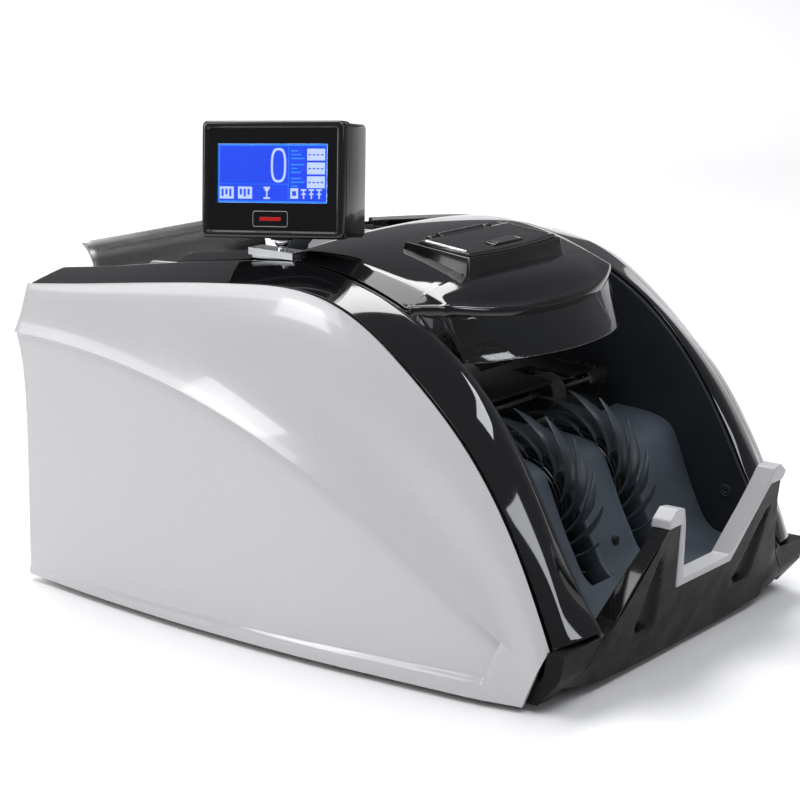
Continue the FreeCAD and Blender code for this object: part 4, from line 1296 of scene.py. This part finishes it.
def face_badge():
    """A plain outlined plate under the screen with a red pilot bar."""
    outline = rounded_rect(-11.4, 9.4, 7.5, 15.7, 1.2, 5)
    loop = mm([(x, z, -PANEL_Y) for x, z in outline])
    turn = Matrix.Rotation(math.pi / 2, 4, "X")
    curve_loop("face_badge_rim", loop, 0.16 * MM, "lcd_grey", "display", DISPLAY_FRAME @ turn)
    corners = ((-7.4, 10.6), (5.4, 10.6), (5.4, 12.6), (-7.4, 12.6))
    bar = mm([(x, PANEL_Y - dy, z) for dy in (0, 0.15) for x, z in corners])
    obj = piece("face_badge_bar", on_display(bar), prism_faces(4), "pilot_red", "display")
    rounded(obj, 0.1 * MM)


# ---------------------------------------------------------------- hopper

def hopper_rear_plate():
    """Pressed sheet at the hopper's rear, its top edge rolled over to the back."""
    profile = [(184.0, 151.5), (184.9, 164), (186.6, 175), (190.2, 185.5), (194.0, 190.6), (197.6, 193.4)]
    path = spline(mm(profile), 34)
    xs = np.linspace(-78 * MM, 78 * MM, 27)
    verts = [(x, y, z) for y, z in path for x in xs]
    obj = piece("rear_plate_sheet", verts, grid_faces(len(path), len(xs)), "grey_sheet", "chassis",
                replaced=["hopper_rear_plate"], sharp=60)
    shell(obj, 1.5 * MM, 0.4 * MM, 2, 50)


def dressed_nodes():
    """The CAD nodes whose shape is right, with their materials and softly rounded edges."""
    plan = (
        ("steel", 0.3, ("side_plates", "retard_bracket")),
        ("base_black", 0.5, ("base_tray",)),
        ("foot_rubber", 0.9, ("rubber_feet",)),
        ("dark_matte", 0.4, ("rear_cover",)),
        ("socket_black", 0.35, ("power_inlet", "power_switch")),
        ("socket_black", 0.3, ("rear_sockets", "note_sensors")),
        ("steel", 0.4, ("housing_screws", "cross_bars")),
        ("motor_metal", 0.6, ("stacker_motor",)),
        ("motor_metal", 0.8, ("main_motor",)),
        ("belt_rubber", 0.1, ("stacker_belt", "feed_belts")),
        ("shaft_steel", 0.3, ("bearings", "impeller_shaft", "stacker_spindle", "feed_shaft",
                              "pickup_shaft", "transport_shaft", "motor_spindle")),
        ("circuit_board", 0.15, ("main_board",)),
        ("grey_sheet", 0.5, ("power_supply",)),
        ("dark_matte", 0.3, ("hopper_floor",)),
        ("base_black", 0.2, ("path_plate",)),
        ("shaft_steel", 0.2, ("hinge_pins",)),
        ("roller_rubber", 0.5, ("retard_roller", "feed_rollers", "pickup_rollers", "transport_rollers")),
        ("circuit_board", 0.1, ("keypad_board",)),
        ("silver_block", 0.35, ("display_bracket",)),
        ("chrome", 0.0, ("display_neck",)),
        ("guide_grey", 0.5, ("right_hopper_guide", "left_hopper_guide")),
        ("socket_black", 0.4, ("power_rocker",)),
    )
    for material, width, nodes in plan:
        for node in nodes:
            dress(node, material, width * MM)


# ---------------------------------------------------------------- studio

def softbox(name, at, aim, size, power, color=(1, 1, 1)):
    """A rectangular light that shines from one point towards another."""
    light = bpy.data.lights.new(name, "AREA")
    light.shape = "RECTANGLE"
    light.size, light.size_y = size
    light.energy, light.color = power, color
    obj = bpy.data.objects.new(name, light)
    bpy.context.scene.collection.objects.link(obj)
    obj.location = at
    obj.rotation_mode = "QUATERNION"
    obj.rotation_quaternion = (Vector(aim) - Vector(at)).to_track_quat("-Z", "Y")


def studio():
    """A light floor that curls up into a low backdrop, a dim sky and seven softboxes."""
    world = bpy.data.worlds.new("studio")
    world.use_nodes = True
    background = world.node_tree.nodes["Background"]
    background.inputs["Color"].default_value = (0.95, 0.97, 1.0, 1)
    background.inputs["Strength"].default_value = 0.16
    bpy.context.scene.world = world
    bpy.context.scene.view_settings.view_transform = "Standard"
    floor_made = Shader("studio_floor", (0.90, 0.90, 0.91), 0.6)
    floor_made.uneven(floor_made.noise(0.2, 3), 0.05)
    floor_made.bump(floor_made.noise(0.01, 3), 0.00002)
    mesh = bpy.data.meshes.new("floor")
    reach, bend, radius, rise, half = 2.4, 1.95, 0.25, 0.45, 3.5
    profile = [(-reach, 0.0), *arc(bend, radius, radius, -90, 90, 12), (bend + radius, rise)]
    verts = [(x, y, z) for y, z in profile for x in (-half, half)]
    mesh.from_pydata(verts, [], grid_faces(len(profile), 2))
    mesh.materials.append(MATERIALS["studio_floor"])
    for polygon in mesh.polygons:
        polygon.use_smooth = True
    floor = bpy.data.objects.new("floor", mesh)
    floor.rotation_euler.z = math.radians(-53.7)
    bpy.context.scene.collection.objects.link(floor)
    softbox("overhead", (-0.1, 0.5, 1.45), (0, 0.0, 0.1), (1.5, 0.9), 16)
    softbox("left_key", (-1.25, 0.95, 0.80), (0, 0.05, 0.10), (0.95, 0.6), 5.6)
    softbox("left_window", (-1.45, 0.88, 0.50), (-0.1, 0.05, 0.15), (0.30, 0.34), 2.2, (0.97, 0.98, 1.0))
    softbox("front_window", (0.35, -1.45, 0.75), (0, -0.1, 0.1), (0.3, 0.5), 2.4, (0.93, 0.96, 1.0))
    softbox("right_window", (0.62, -0.80, 1.30), (0, -0.1, 0.1), (0.6, 0.22), 3.0, (0.93, 0.96, 1.0))
    softbox("floor_wash", (-0.9, -1.0, 1.9), (-0.5, -0.6, 0.0), (1.2, 1.2), 20)
    softbox("backdrop", (0.9, 0.9, 1.9), (1.3, 1.3, 0.0), (1.6, 1.0), 30)


def camera():
    """The studio camera at the catalogue view's angle, rolled by under a degree."""
    azimuth, elevation, roll = math.radians(-53.73), math.radians(13.60), math.radians(0.716)
    back = Vector((math.sin(azimuth) * math.cos(elevation), -math.cos(azimuth) * math.cos(elevation),
                   math.sin(elevation)))
    right = (-back).cross(Vector((0, 0, 1))).normalized()
    up = right.cross(-back)
    right, up = right * math.cos(roll) + up * math.sin(roll), up * math.cos(roll) - right * math.sin(roll)
    data = bpy.data.cameras.new("camera")
    data.sensor_width, data.lens = 36, 101.42
    data.clip_start, data.clip_end = 0.05, 20
    obj = bpy.data.objects.new("camera", data)
    bpy.context.scene.collection.objects.link(obj)
    obj.location = (-1.0286, -0.7344, 0.4183)
    obj.rotation_mode = "QUATERNION"
    obj.rotation_quaternion = Matrix((right, up, back)).transposed().to_quaternion()
    bpy.context.scene.camera = obj


# ---------------------------------------------------------------- assembly

make_materials()
for side, sign in SIDES:
    side_panel(side, sign)
    side_band(side, sign)
inner_walls()
stacker_stop()
stop_trim()
front_corners()
chamber_liner()
impeller_wheels()
top_cover()
visor()
keypad_bezel()
keypad_lid()
keys()
display_front()
display_rear()
display_window()
display_lcd()
face_badge()
hopper_rear_plate()
dressed_nodes()
studio()
camera()
